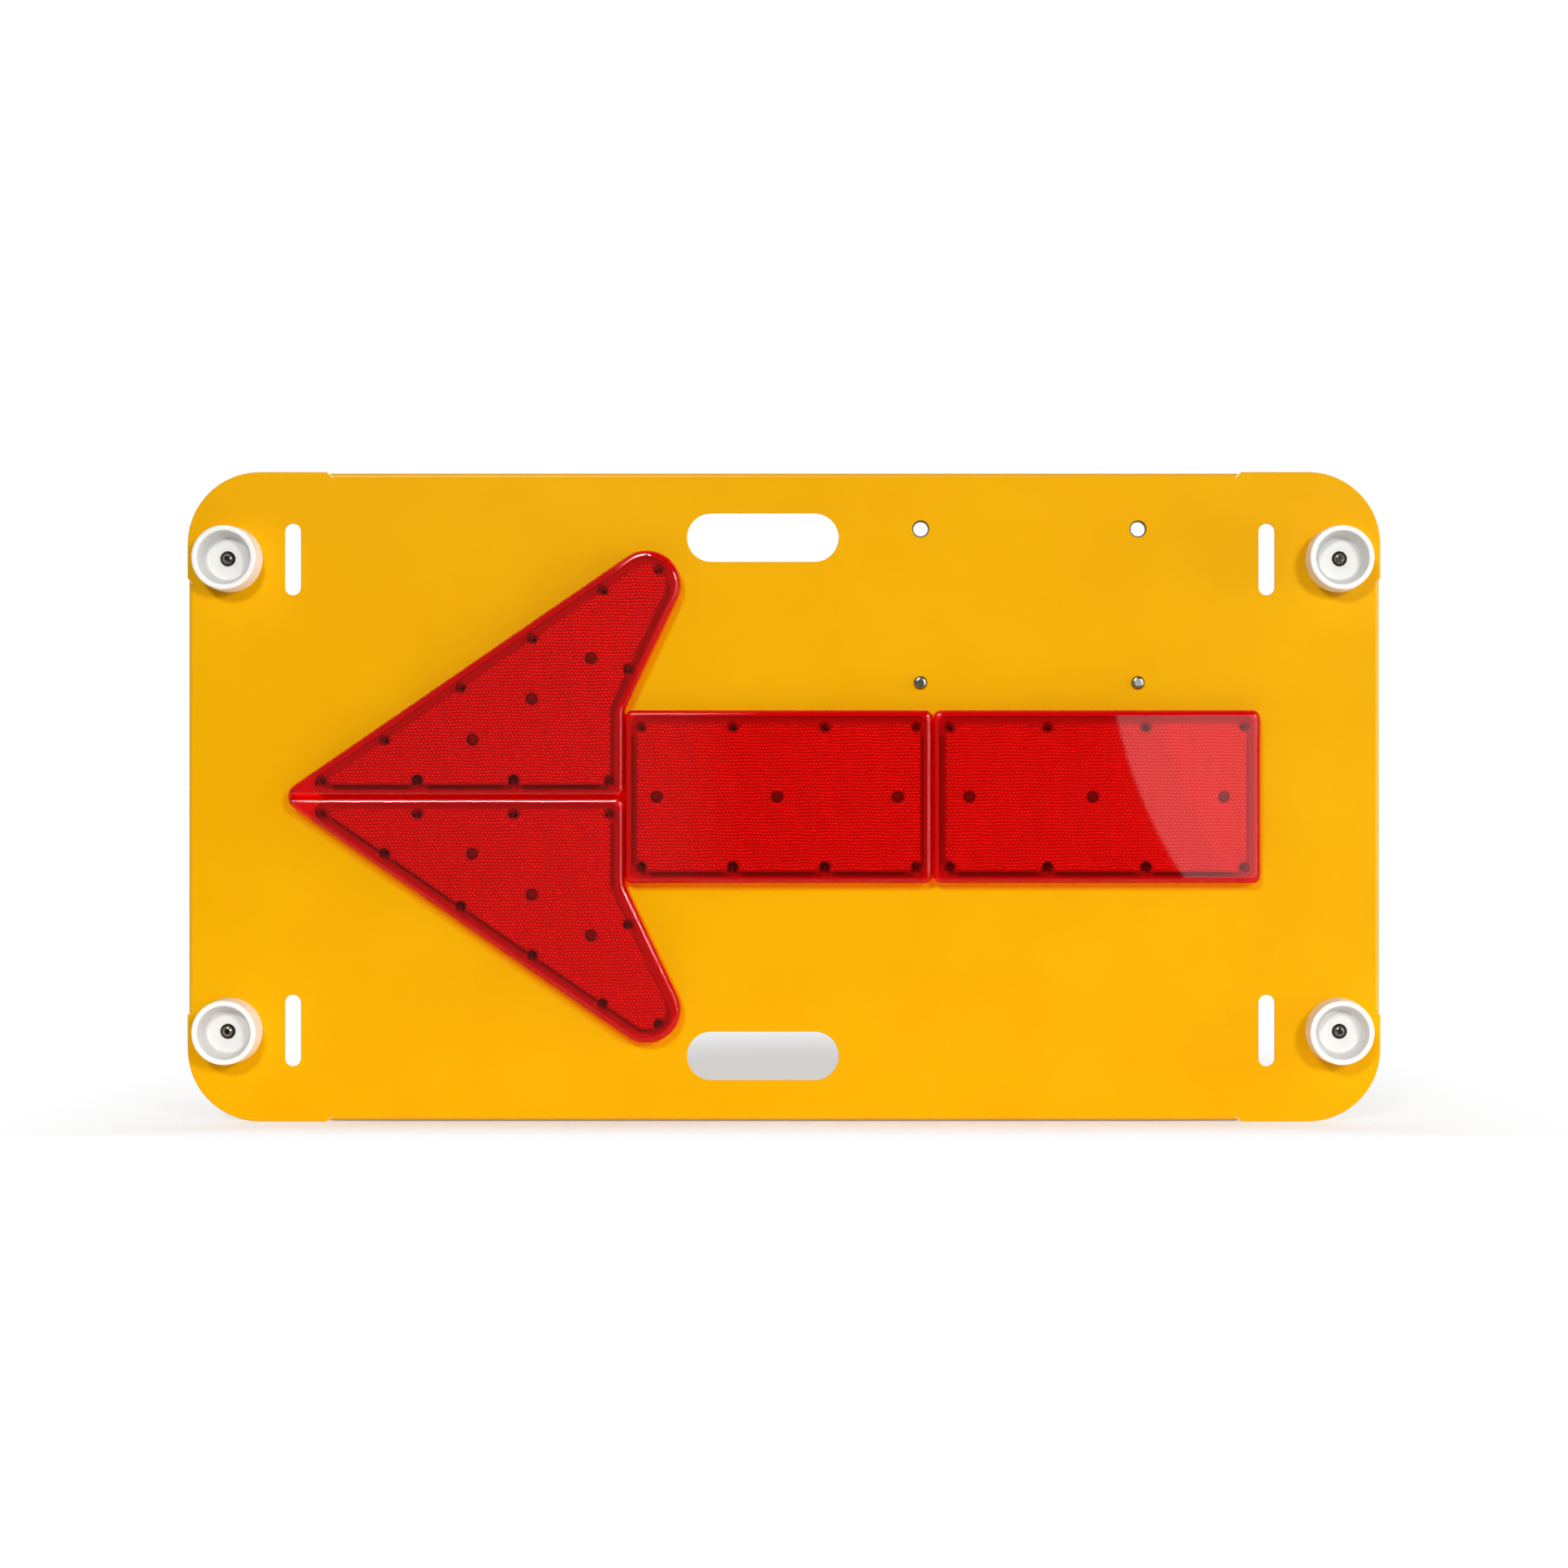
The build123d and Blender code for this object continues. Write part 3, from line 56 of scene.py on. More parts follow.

# %% [markdown]
# Two small helpers carry the whole lesson. Colours are given as sRGB hex values, while the renderer works
# with linear light, so one function turns one into the other. A node tree is easier to read when each node is
# one call, so the other helper adds a node, sets it and links its inputs.

# %% Colour and node helpers
def linear(code):
    """Linear RGBA of an sRGB hex colour."""
    values = [int(code[i:i + 2], 16) / 255 for i in (1, 3, 5)]
    return [v / 12.92 if v <= 0.04045 else ((v + 0.055) / 1.055) ** 2.4 for v in values] + [1.0]


def add(tree, kind, inputs=None, **settings):
    """Adds a node. An input is a plain value or the output socket of another node."""
    node = tree.nodes.new(kind)
    for name, value in settings.items():
        setattr(node, name, value)
    for key, value in (inputs or {}).items():
        if isinstance(value, bpy.types.NodeSocket):
            tree.links.new(value, node.inputs[key])
        else:
            node.inputs[key].default_value = value
    return node


def start_finish(name, colour, **sockets):
    """New material with one shader. Underscores in a socket's name stand for spaces."""
    material = bpy.data.materials.new(name)
    material.use_nodes = True
    tree = material.node_tree
    tree.nodes.clear()
    plain = {key.replace("_", " "): value for key, value in sockets.items()}
    shader = add(tree, "ShaderNodeBsdfPrincipled", {"Base Color": linear(colour), **plain})
    add(tree, "ShaderNodeOutputMaterial", {"Surface": shader.outputs["BSDF"]})
    return material, tree, shader


print("helpers ready, mid grey is", [round(v, 3) for v in linear("#808080")[:3]])

# %% [markdown]
# Every surface has some grain: the orange peel of a powder coat, the fine texture of a mould. All of them are
# noise of a known size in millimetres that bends the surface a little and makes it shine unevenly. One
# function gives a finish both, from Object coordinates, so that the pattern keeps its real size and stays
# put on the piece.

# %% Grain helper
GRAIN_DETAIL = 3.0
GRAIN_REACH = (0.3, 0.7)


def place(tree, centre=(0, 0, 0)):
    """Object coordinates measured from a centre, in metres."""
    spot = add(tree, "ShaderNodeTexCoord").outputs["Object"]
    return add(tree, "ShaderNodeMapping", {"Vector": spot, "Location": [-c for c in centre]}).outputs[0]


def grain(tree, shader, size, depth, shine):
    """Noise of a size and depth in millimetres; shine is the lowest and highest roughness."""
    noise = add(tree, "ShaderNodeTexNoise", {
        "Vector": place(tree), "Scale": 1 / (size * MM), "Detail": GRAIN_DETAIL})
    bump = add(tree, "ShaderNodeBump", {
        "Height": noise.outputs["Fac"], "Strength": 1.0, "Distance": depth * MM})
    rough = add(tree, "ShaderNodeMapRange", {
        "Value": noise.outputs["Fac"], "From Min": GRAIN_REACH[0], "From Max": GRAIN_REACH[1],
        "To Min": shine[0], "To Max": shine[1]})
    tree.links.new(bump.outputs["Normal"], shader.inputs["Normal"])
    tree.links.new(rough.outputs["Result"], shader.inputs["Roughness"])
    return noise.outputs["Fac"]


def tinted(tree, shader, factor, low, high, reach=(0.35, 0.65)):
    """Base colour that runs between two hex colours with a factor."""
    ramp = add(tree, "ShaderNodeMapRange", {"Value": factor, "From Min": reach[0], "From Max": reach[1]})
    mix = add(tree, "ShaderNodeMix", {
        0: ramp.outputs["Result"], 6: linear(low), 7: linear(high)}, data_type="RGBA")
    tree.links.new(mix.outputs[2], shader.inputs["Base Color"])


print("grain helper ready")

# %% [markdown]
# The panel is steel sheet, cut, folded and then powder coated in traffic yellow. A powder coat is a thick
# baked skin with an orange peel of about 1.5 mm. Its colour hardly varies, so the finish mixes two
# neighbouring yellows over large soft patches. The face is dull, but hands have polished the folded edges, so
# a glossy coat runs along the outline wherever the sheet turns back from the face, and the bends catch the
# lamps as thin light lines.

# %% Powder coat
FINISH = {}
PATCH_SIZE = 70 * MM
PATCH_DETAIL = 2.0
EDGE_BAND = 4.0 * MM
EDGE_FULL = 0.9
TURN_BACK = (0.02 * MM, 0.06 * MM)
BEND_POLISH = 0.7
material, tree, shader = start_finish(
    "powder coat traffic yellow", "#F1AE02", Specular_IOR_Level=0.03, Coat_Roughness=0.27, Coat_IOR=1.7)
grain(tree, shader, size=1.5, depth=0.010, shine=(0.26, 0.33))
patches = add(tree, "ShaderNodeTexNoise", {
    "Vector": place(tree), "Scale": 1 / PATCH_SIZE, "Detail": PATCH_DETAIL})
tinted(tree, shader, patches.outputs["Fac"], "#EFAC01", "#F2B003")
low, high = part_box("panel")
spot = add(tree, "ShaderNodeSeparateXYZ", {"Vector": place(tree, (low + high) / 2)})
bands = []
for axis, reach in (("X", (high.x - low.x) / 2), ("Z", (high.z - low.z) / 2)):
    away = add(tree, "ShaderNodeMath", {0: spot.outputs[axis]}, operation="ABSOLUTE")
    bands.append(add(tree, "ShaderNodeMapRange", {
        "Value": away.outputs[0], "From Min": reach - EDGE_BAND, "From Max": reach - EDGE_FULL * EDGE_BAND}))
edge = add(tree, "ShaderNodeMath", {0: bands[0].outputs[0], 1: bands[1].outputs[0]}, operation="MAXIMUM")
face = -(high.y - low.y) / 2
turned = add(tree, "ShaderNodeMapRange", {
    "Value": spot.outputs["Y"], "From Min": face + TURN_BACK[0], "From Max": face + TURN_BACK[1],
    "To Max": BEND_POLISH})
polish = add(tree, "ShaderNodeMath", {0: edge.outputs[0], 1: turned.outputs[0]}, operation="MULTIPLY")
tree.links.new(polish.outputs[0], shader.inputs["Coat Weight"])
FINISH["panel_yellow"] = material
print("made", material.name)

# %% [markdown]
# The lenses are acrylic, moulded in clear red with a polished face, as on a vehicle's tail lamp. Light goes
# in through the window, is thrown back by the prism cells and comes out again. The dye is in the plastic, not
# on it, so it takes more the longer the way: the thin window is a clear red, while walls and screw posts are
# deep red. Absorption in the volume gives just that. A lamp cannot be sampled through bent light, so shadow
# and bounce rays pass straight through, less what each face turns aside, while the camera sees real
# refraction. The steep walls behind the window and the matt feet of the posts turn aside more than the
# window does.

# %% Red acrylic
WINDOW_T = 3.0 * MM
WINDOW_TINT = (0.996, 0.060, 0.050)
WALL_H = 11.0 * MM
FACE_PASS = 0.947
WALL_PASS = 0.66
POST_FOOT = 15.4 * MM
FOOT_REACH = 0.3 * MM
FOOT_PASS = 0.72
PASS_SOFT = 0.1 * MM
taken = [-math.log(v) / WINDOW_T for v in WINDOW_TINT]
material, tree, shader = start_finish(
    "clear red acrylic", "#FFFFFF", Roughness=0.02, IOR=1.49, Transmission_Weight=1.0)
output = tree.nodes["Material Output"]
path = add(tree, "ShaderNodeLightPath")
seen = add(tree, "ShaderNodeMath", {
    0: path.outputs["Is Camera Ray"], 1: path.outputs["Is Transmission Ray"]}, operation="MAXIMUM")
lens_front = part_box("near_shaft_lens")[0].y
passed = []
for depth, reach, low, high in (
        (WINDOW_T + WALL_H / 2, WALL_H / 2 - PASS_SOFT, WALL_PASS, FACE_PASS),
        (POST_FOOT, FOOT_REACH, FOOT_PASS, 1.0)):
    spot = add(tree, "ShaderNodeSeparateXYZ", {"Vector": place(tree, (0, lens_front + depth, 0))})
    away = add(tree, "ShaderNodeMath", {0: spot.outputs["Y"]}, operation="ABSOLUTE")
    passed.append(add(tree, "ShaderNodeMapRange", {
        "Value": away.outputs[0], "From Min": reach - PASS_SOFT, "From Max": reach, "To Min": low,
        "To Max": high}).outputs[0])
through = add(tree, "ShaderNodeMath", {0: passed[0], 1: passed[1]}, operation="MULTIPLY")
straight = add(tree, "ShaderNodeBsdfTransparent", {"Color": through.outputs[0]})
mix = add(tree, "ShaderNodeMixShader", {
    0: seen.outputs[0], 1: straight.outputs[0], 2: shader.outputs[0]})
dye = add(tree, "ShaderNodeVolumeAbsorption", {
    "Color": (*[1 - v / max(taken) for v in taken], 1), "Density": max(taken)})
tree.links.new(mix.outputs[0], output.inputs["Surface"])
tree.links.new(dye.outputs[0], output.inputs["Volume"])
FINISH["lens_red"] = material
print("made", material.name, "that takes", [round(v) for v in taken], "per metre")

# %% [markdown]
# Behind each window lies a plate of prism cells, metallised so that it throws headlights back. The cells are
# polished, so each one mirrors the lamp as a spark. The Y coordinate drives their colour by height: lighter on
# the crowns and darker down into the grooves between cells and rows, which is painted shade.
# The LEDs are round epoxy bodies that look smoky grey while they are off, and the trays behind them are
# moulded in light grey.

# %% Finishes behind the lenses
CROWN_H = 0.26 * MM
CROWN_FULL = 0.7
PLATE_CUT = 0.34 * MM
plate_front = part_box("near_shaft_prism_plate")[0].y + PLATE_CUT
material, tree, shader = start_finish("metallised prism cells", "#F4F4F4", Metallic=0.36)
grain(tree, shader, size=0.8, depth=0.002, shine=(0.11, 0.15))
height = add(tree, "ShaderNodeSeparateXYZ", {"Vector": place(tree)}).outputs["Y"]
# Painted shade: the colour darkens from crown to groove, so the grooves between cells and rows read as shade.
tinted(tree, shader, height, "#CECECE", "#EAEAEA", reach=(plate_front, plate_front - CROWN_FULL * CROWN_H))
FINISH["prism_silver"] = material

material, tree, shader = start_finish("smoky led epoxy", "#707070", Specular_IOR_Level=0.25)
speck = grain(tree, shader, size=0.6, depth=0.003, shine=(0.24, 0.32))
tinted(tree, shader, speck, "#6A6A6A", "#767676")
FINISH["led_body"] = material

material, tree, shader = start_finish("moulded light grey tray", "#D4D4D2", Specular_IOR_Level=0.3)
speck = grain(tree, shader, size=1.2, depth=0.02, shine=(0.5, 0.62))
tinted(tree, shader, speck, "#D0D0CE", "#D8D8D6")
FINISH["tray_grey"] = material
print("made", len(FINISH), "finishes so far")

# %% [markdown]
# The bumpers are cups of white polyurethane. The inside of each cup keeps the fine rings of the turned mould
# it came from, about a millimetre apart and centred on its bolt. Inside the mouth of the cup the white is
# painted greyer than the rim, as shade in the hollow. Each bumper has its own finish, with the same rings and
# painted shade moved to its centre. A wave texture of scale 1 runs through 20 radians in a metre, which gives
# the scale for a known pitch.

# %% White bumpers
RING_PITCH = 1.3 * MM
RING_DEPTH = 0.05 * MM
WAVE_RADIANS = 20
CUP_MOUTH = 20.2 * MM
MOUTH_SOFT = 0.6 * MM


def bumper_white(name):
    """Satin white with rings round the centre of one bumper."""
    low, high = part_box(name)
    centre = (low + high) / 2
    finish, tree, shader = start_finish("white polyurethane " + name, "#F7F6F3", Specular_IOR_Level=0.4)
    grain(tree, shader, size=2.5, depth=0.01, shine=(0.38, 0.46))
    spot = place(tree, centre)
    flat = add(tree, "ShaderNodeVectorMath", {0: spot, 1: (1, 0, 1)}, operation="MULTIPLY")
    away = add(tree, "ShaderNodeVectorMath", {0: flat.outputs[0]}, operation="LENGTH")
    # Painted shade: inside the mouth of the cup the white is greyer than on the rim.
    tinted(
        tree, shader, away.outputs["Value"], "#E6E5E2", "#F7F6F3", reach=(CUP_MOUTH - MOUTH_SOFT, CUP_MOUTH))
    rings = add(tree, "ShaderNodeTexWave", {
        "Vector": spot, "Scale": 2 * math.pi / (WAVE_RADIANS * RING_PITCH), "Distortion": 0.0},
        wave_type="RINGS", rings_direction="Y", wave_profile="SIN")
    first = shader.inputs["Normal"].links[0].from_socket
    bump = add(tree, "ShaderNodeBump", {
        "Height": rings.outputs["Fac"], "Strength": 1.0, "Distance": RING_DEPTH, "Normal": first})
    tree.links.new(bump.outputs["Normal"], shader.inputs["Normal"])
    return finish


bumpers = [name for name in nodes if name.startswith("bumper_") and name.endswith(("left", "right"))]
own_finish = {name: bumper_white(name) for name in bumpers}
print("made", len(own_finish), "bumper finishes with rings", RING_PITCH / MM, "mm apart")

# %% [markdown]
# Fasteners and metal. Zinc plate is a soft grey with a faint cloudiness. The two screws on the front are
# bright plated. The bumper bolts are black oxide, a thin dark skin on steel. Height drives their colour: the
# crown of each head is painted lighter as a highlight, and the sides and the socket are painted darker as
# shade. The lens screws stand deep in their posts, where hardly any light comes back from them, so theirs is
# a darker zinc.

# %% Metals
PLATING_DEPTH = 0.004
PAINTED_CROWN_DEPTH = (0.3 * MM, 1.3 * MM)
for slot, name, colours, shine, size in (
        ("zinc_steel", "zinc plated steel", ("#A3A7A9", "#B4B8BA"), (0.28, 0.40), 1.5),
        ("bright_screw", "bright plated steel", ("#A5A199", "#B0ACA4"), (0.12, 0.20), 1.0),
        ("contact_steel", "nickel plated spring steel", ("#BDB8AC", "#C9C4B8"), (0.20, 0.30), 1.2)):
    material, tree, shader = start_finish(name, colours[0], Metallic=1.0)
    speck = grain(tree, shader, size, PLATING_DEPTH, shine)
    tinted(tree, shader, speck, *colours)
    FINISH[slot] = material

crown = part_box("bumper_bolts")[0].y
material, tree, shader = start_finish("black oxide steel with painted crown highlight", "#3B3733", Metallic=1.0)
grain(tree, shader, size=0.7, depth=0.006, shine=(0.16, 0.26))
height = add(tree, "ShaderNodeSeparateXYZ", {"Vector": place(tree)}).outputs["Y"]
# Painted highlight and shade: lighter on the crown of each head, darker down its sides and in the socket.
tinted(tree, shader, height, "#8C857B", "#35312D", reach=[crown + depth for depth in PAINTED_CROWN_DEPTH])
FINISH["black_steel"] = material

material, tree, shader = start_finish("zinc plated steel in the shade", "#646566", Metallic=1.0)
speck = grain(tree, shader, size=1.5, depth=PLATING_DEPTH, shine=(0.45, 0.6))
tinted(tree, shader, speck, "#606162", "#68696A")
own_finish.update({name: material for name in nodes if name.endswith("_lens_screws")})
print("made", len(FINISH), "finishes so far and", len(own_finish), "pieces with their own")

# %% [markdown]
# Plastics and rubber behind the board. The control box is ABS with a fine moulded grain of about 0.8 mm. The
# latch, switch body and holder are a smoother black, the rocker is polished red. Rubber and cable sheath are
# matte.

# %% Plastics and rubber
for slot, name, colours, shine, size, depth in (
        ("box_grey", "grained grey abs", ("#7C7F82", "#87898C"), (0.45, 0.62), 0.8, 0.05),
        ("black_plastic", "moulded black nylon", ("#19191B", "#232326"), (0.36, 0.5), 1.0, 0.015),
        ("rocker_red", "polished red abs", ("#A81512", "#B51A16"), (0.12, 0.2), 2.0, 0.004),
        ("seal_rubber", "black seal rubber", ("#151515", "#202020"), (0.6, 0.8), 0.9, 0.03),
        ("seal_silicone", "white silicone rubber", ("#EFEEEB", "#F5F4F1"), (0.55, 0.7), 1.5, 0.02),
        ("lead_black", "black cable sheath", ("#161618", "#1F1F22"), (0.5, 0.65), 1.2, 0.02),
        ("lead_red", "red cable sheath", ("#E6362B", "#EC3D31"), (0.45, 0.6), 1.2, 0.02),
        ("hanger_black", "satin black powder coat", ("#1B1B1B", "#242424"), (0.36, 0.48), 1.5, 0.012)):
    material, tree, shader = start_finish(name, colours[0])
    speck = grain(tree, shader, size, depth, shine)
    tinted(tree, shader, speck, *colours)
    FINISH[slot] = material
print("made", len(FINISH), "finishes so far")

# %% [markdown]
# The circuit boards are glass-epoxy under green solder resist. Copper tracks show through as paler lines, so
# a grid of bricks draws them. The cells wear a plain sleeve: dark, with a copper-coloured band at the nub
# end, which repeats along the row with the length of a cell.

# %% Circuit boards and cells
TRACK_GAP = 0.35 * MM
TRACK_L = 9 * MM
TRACK_PITCH = 2.5 * MM
material, tree, shader = start_finish("green solder resist", "#1F4D30", Specular_IOR_Level=0.5)
grain(tree, shader, size=1.0, depth=0.01, shine=(0.25, 0.35))
turned = add(tree, "ShaderNodeMapping", {"Vector": place(tree), "Rotation": (math.pi / 2, 0, 0)})
tracks = add(tree, "ShaderNodeTexBrick", {
    "Vector": turned.outputs[0], "Color1": linear("#1F4D30"), "Color2": linear("#235536"),
    "Mortar": linear("#3E7A4C"), "Scale": 1.0, "Mortar Size": TRACK_GAP, "Brick Width": TRACK_L,
    "Row Height": TRACK_PITCH})
tree.links.new(tracks.outputs["Color"], shader.inputs["Base Color"])
FINISH["circuit_board"] = material

CELL_L = 61.5 * MM
COPPER_BAND = (44 * MM, 44.2 * MM)
first_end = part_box("batteries")[0]
material, tree, shader = start_finish("sleeved cell", "#3A3D44", Metallic=0.3)
grain(tree, shader, size=3.0, depth=0.01, shine=(0.28, 0.36))
along = add(tree, "ShaderNodeSeparateXYZ", {"Vector": place(tree, first_end)})
step = add(tree, "ShaderNodeMath", {0: along.outputs["X"], 1: CELL_L}, operation="MODULO")
tinted(tree, shader, step.outputs[0], "#3A3D44", "#A9784A", reach=COPPER_BAND)
FINISH["cell_jacket"] = material

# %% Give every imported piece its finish
for row in frame["record"]["subparts"]:
    name = row["node"]
    chosen = own_finish.get(name) or FINISH[row["material_slot"]]
    nodes[name].data.materials.clear()
    nodes[name].data.materials.append(chosen)
print("finished", len(nodes), "pieces")

# %% [markdown]
# Each prism plate carries thousands of small domed cells in staggered rows, 2.75 mm apart, with rows that
# wander a little. Placing them by hand is hopeless and a bump map has no real sparkle, so Geometry Nodes lays
# a lattice of points over the plate, drops those off the plate, and stands a low dome on each of the rest,
# smaller where an edge or a hole leaves less room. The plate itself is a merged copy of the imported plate, a
# little thinner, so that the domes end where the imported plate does, and let out a little towards the rim on
# the sides where the real field reaches further.

# %% Prism cell tree
PROBE_FROM = (0, -2 * MM, 0)
PROBE_LENGTH = 2.5 * MM
FRONT_NORMAL_Y = -0.5
SHARED_EDGE = 1.5
DOME_SIDES = 6
DOME_RINGS = 4
tree = bpy.data.node_groups.new("prism cell field", "GeometryNodeTree")
socket = {}
for name, kind in (
        ("Plate", "Geometry"), ("Columns", "Int"), ("Rows", "Int"), ("Start", "Vector"), ("Pitch", "Float"),
        ("Row Pitch", "Float"), ("Wander", "Float"), ("Wander Length", "Float"), ("Wander Shift", "Float"),
        ("Cell Size", "Vector"), ("Edge Gap", "Float"), ("Full Gap", "Float"), ("Tilt", "Float"),
        ("Seed", "Int"), ("Finish", "Material")):
    socket[name] = tree.interface.new_socket(name, in_out="INPUT", socket_type="NodeSocket" + kind).identifier
tree.interface.new_socket("Field", in_out="OUTPUT", socket_type="NodeSocketGeometry")
given = add(tree, "NodeGroupInput").outputs
index = add(tree, "GeometryNodeInputIndex").outputs[0]
count = add(tree, "ShaderNodeMath", {0: given["Columns"], 1: given["Rows"]}, operation="MULTIPLY")
column = add(tree, "ShaderNodeMath", {0: index, 1: given["Columns"]}, operation="MODULO")
share = add(tree, "ShaderNodeMath", {0: index, 1: given["Columns"]}, operation="DIVIDE")
row = add(tree, "ShaderNodeMath", {0: share.outputs[0]}, operation="FLOOR")
odd = add(tree, "ShaderNodeMath", {0: row.outputs[0], 1: 2.0}, operation="MODULO")
half = add(tree, "ShaderNodeMath", {
    0: odd.outputs[0], 1: 0.5, 2: column.outputs[0]}, operation="MULTIPLY_ADD")
x = add(tree, "ShaderNodeMath", {0: half.outputs[0], 1: given["Pitch"]}, operation="MULTIPLY")
up = add(tree, "ShaderNodeMath", {0: row.outputs[0], 1: given["Row Pitch"]}, operation="MULTIPLY")
turn = add(tree, "ShaderNodeMath", {0: x.outputs[0], 1: given["Wander Length"]}, operation="DIVIDE")
phase = add(tree, "ShaderNodeMath", {
    0: row.outputs[0], 1: given["Wander Shift"], 2: turn.outputs[0]}, operation="MULTIPLY_ADD")
angle = add(tree, "ShaderNodeMath", {0: phase.outputs[0], 1: 2 * math.pi}, operation="MULTIPLY")
wave = add(tree, "ShaderNodeMath", {0: angle.outputs[0]}, operation="SINE")
z = add(tree, "ShaderNodeMath", {
    0: wave.outputs[0], 1: given["Wander"], 2: up.outputs[0]}, operation="MULTIPLY_ADD")
offset = add(tree, "ShaderNodeCombineXYZ", {"X": x.outputs[0], "Z": z.outputs[0]})
spot = add(tree, "ShaderNodeVectorMath", {0: offset.outputs[0], 1: given["Start"]}, operation="ADD")
points = add(tree, "GeometryNodePoints", {"Count": count.outputs[0], "Position": spot.outputs[0]})

position = add(tree, "GeometryNodeInputPosition").outputs[0]
before = add(tree, "ShaderNodeVectorMath", {0: position, 1: PROBE_FROM}, operation="ADD")
ray = add(tree, "GeometryNodeRaycast", {
    "Target Geometry": given["Plate"], "Source Position": before.outputs[0], "Ray Direction": (0, 1, 0),
    "Ray Length": PROBE_LENGTH})
normal = add(tree, "ShaderNodeSeparateXYZ", {"Vector": add(tree, "GeometryNodeInputNormal").outputs[0]})
faces_front = add(tree, "FunctionNodeCompare", {
    0: normal.outputs["Y"], 1: FRONT_NORMAL_Y}, operation="LESS_THAN")
front = add(tree, "GeometryNodeSeparateGeometry", {
    "Geometry": given["Plate"], "Selection": faces_front.outputs[0]}, domain="FACE")
inner_edge = add(tree, "FunctionNodeCompare", {
    0: add(tree, "GeometryNodeInputMeshEdgeNeighbors").outputs[0], 1: SHARED_EDGE}, operation="GREATER_THAN")
outline = add(tree, "GeometryNodeDeleteGeometry", {
    "Geometry": front.outputs[0], "Selection": inner_edge.outputs[0]}, domain="EDGE", mode="EDGE_FACE")
near = add(tree, "GeometryNodeProximity", {"Geometry": outline.outputs[0]}, target_element="EDGES")
clear = add(tree, "FunctionNodeCompare", {
    0: near.outputs["Distance"], 1: given["Edge Gap"]}, operation="GREATER_THAN")
off_plate = add(tree, "FunctionNodeBooleanMath", {
    0: ray.outputs["Is Hit"], 1: clear.outputs[0]}, operation="NAND")
cells = add(tree, "GeometryNodeDeleteGeometry", {
    "Geometry": points.outputs[0], "Selection": off_plate.outputs[0]}, domain="POINT")

dome = add(tree, "GeometryNodeMeshUVSphere", {"Segments": DOME_SIDES, "Rings": DOME_RINGS, "Radius": 1.0})
shaped = add(tree, "GeometryNodeTransform", {"Geometry": dome.outputs[0], "Scale": given["Cell Size"]})
less = add(tree, "ShaderNodeMath", {0: given["Tilt"], 1: -1.0}, operation="MULTIPLY")
low_turn = add(tree, "ShaderNodeCombineXYZ", {"X": less.outputs[0], "Z": less.outputs[0]})
high_turn = add(tree, "ShaderNodeCombineXYZ", {"X": given["Tilt"], "Z": given["Tilt"]})
lean = add(tree, "FunctionNodeRandomValue", {
    0: low_turn.outputs[0], 1: high_turn.outputs[0], "Seed": given["Seed"]}, data_type="FLOAT_VECTOR")
upright = add(tree, "ShaderNodeVectorMath", {0: lean.outputs[0], 1: (math.pi / 2, 0, 0)}, operation="ADD")
room = add(tree, "ShaderNodeMapRange", {
    "Value": near.outputs["Distance"], "From Min": 0.0, "From Max": given["Full Gap"]})
standing = add(tree, "GeometryNodeInstanceOnPoints", {
    "Points": cells.outputs[0], "Instance": shaped.outputs[0], "Rotation": upright.outputs[0],
    "Scale": room.outputs["Result"]})
real = add(tree, "GeometryNodeRealizeInstances", {"Geometry": standing.outputs[0]})
smooth = add(tree, "GeometryNodeSetShadeSmooth", {"Geometry": real.outputs[0]})
joined = add(tree, "GeometryNodeJoinGeometry")
tree.links.new(smooth.outputs[0], joined.inputs[0])
tree.links.new(given["Plate"], joined.inputs[0])
coated = add(tree, "GeometryNodeSetMaterial", {"Geometry": joined.outputs[0], "Material": given["Finish"]})
add(tree, "NodeGroupOutput", {0: coated.outputs[0]})
prism_tree = tree
print("prism tree has", len(tree.nodes), "nodes")

# %% Prism plates with their cells
CELL_PITCH = 2.75 * MM
CELL_ROW = 2.38 * MM
CELL_SIZE = (1.60 * MM, 1.17 * MM, CROWN_H)
CELL_TILT = math.radians(1.2)
ROW_WANDER = 0.35 * MM
WANDER_LENGTH = 31 * MM
WANDER_SHIFT = 0.045
EDGE_GAP = 0.45 * MM
FULL_GAP = 1.5 * MM
FIELD_GROW = 1.6 * MM
ON_SIDE = 0.01 * MM
SAME_POINT = 1e-6
GROWN_SIDES = {
    "near_shaft": ("left", "right", "low"), "far_shaft": ("left", "low"), "upper_head": ("low",),
    "lower_head": ("high",)}


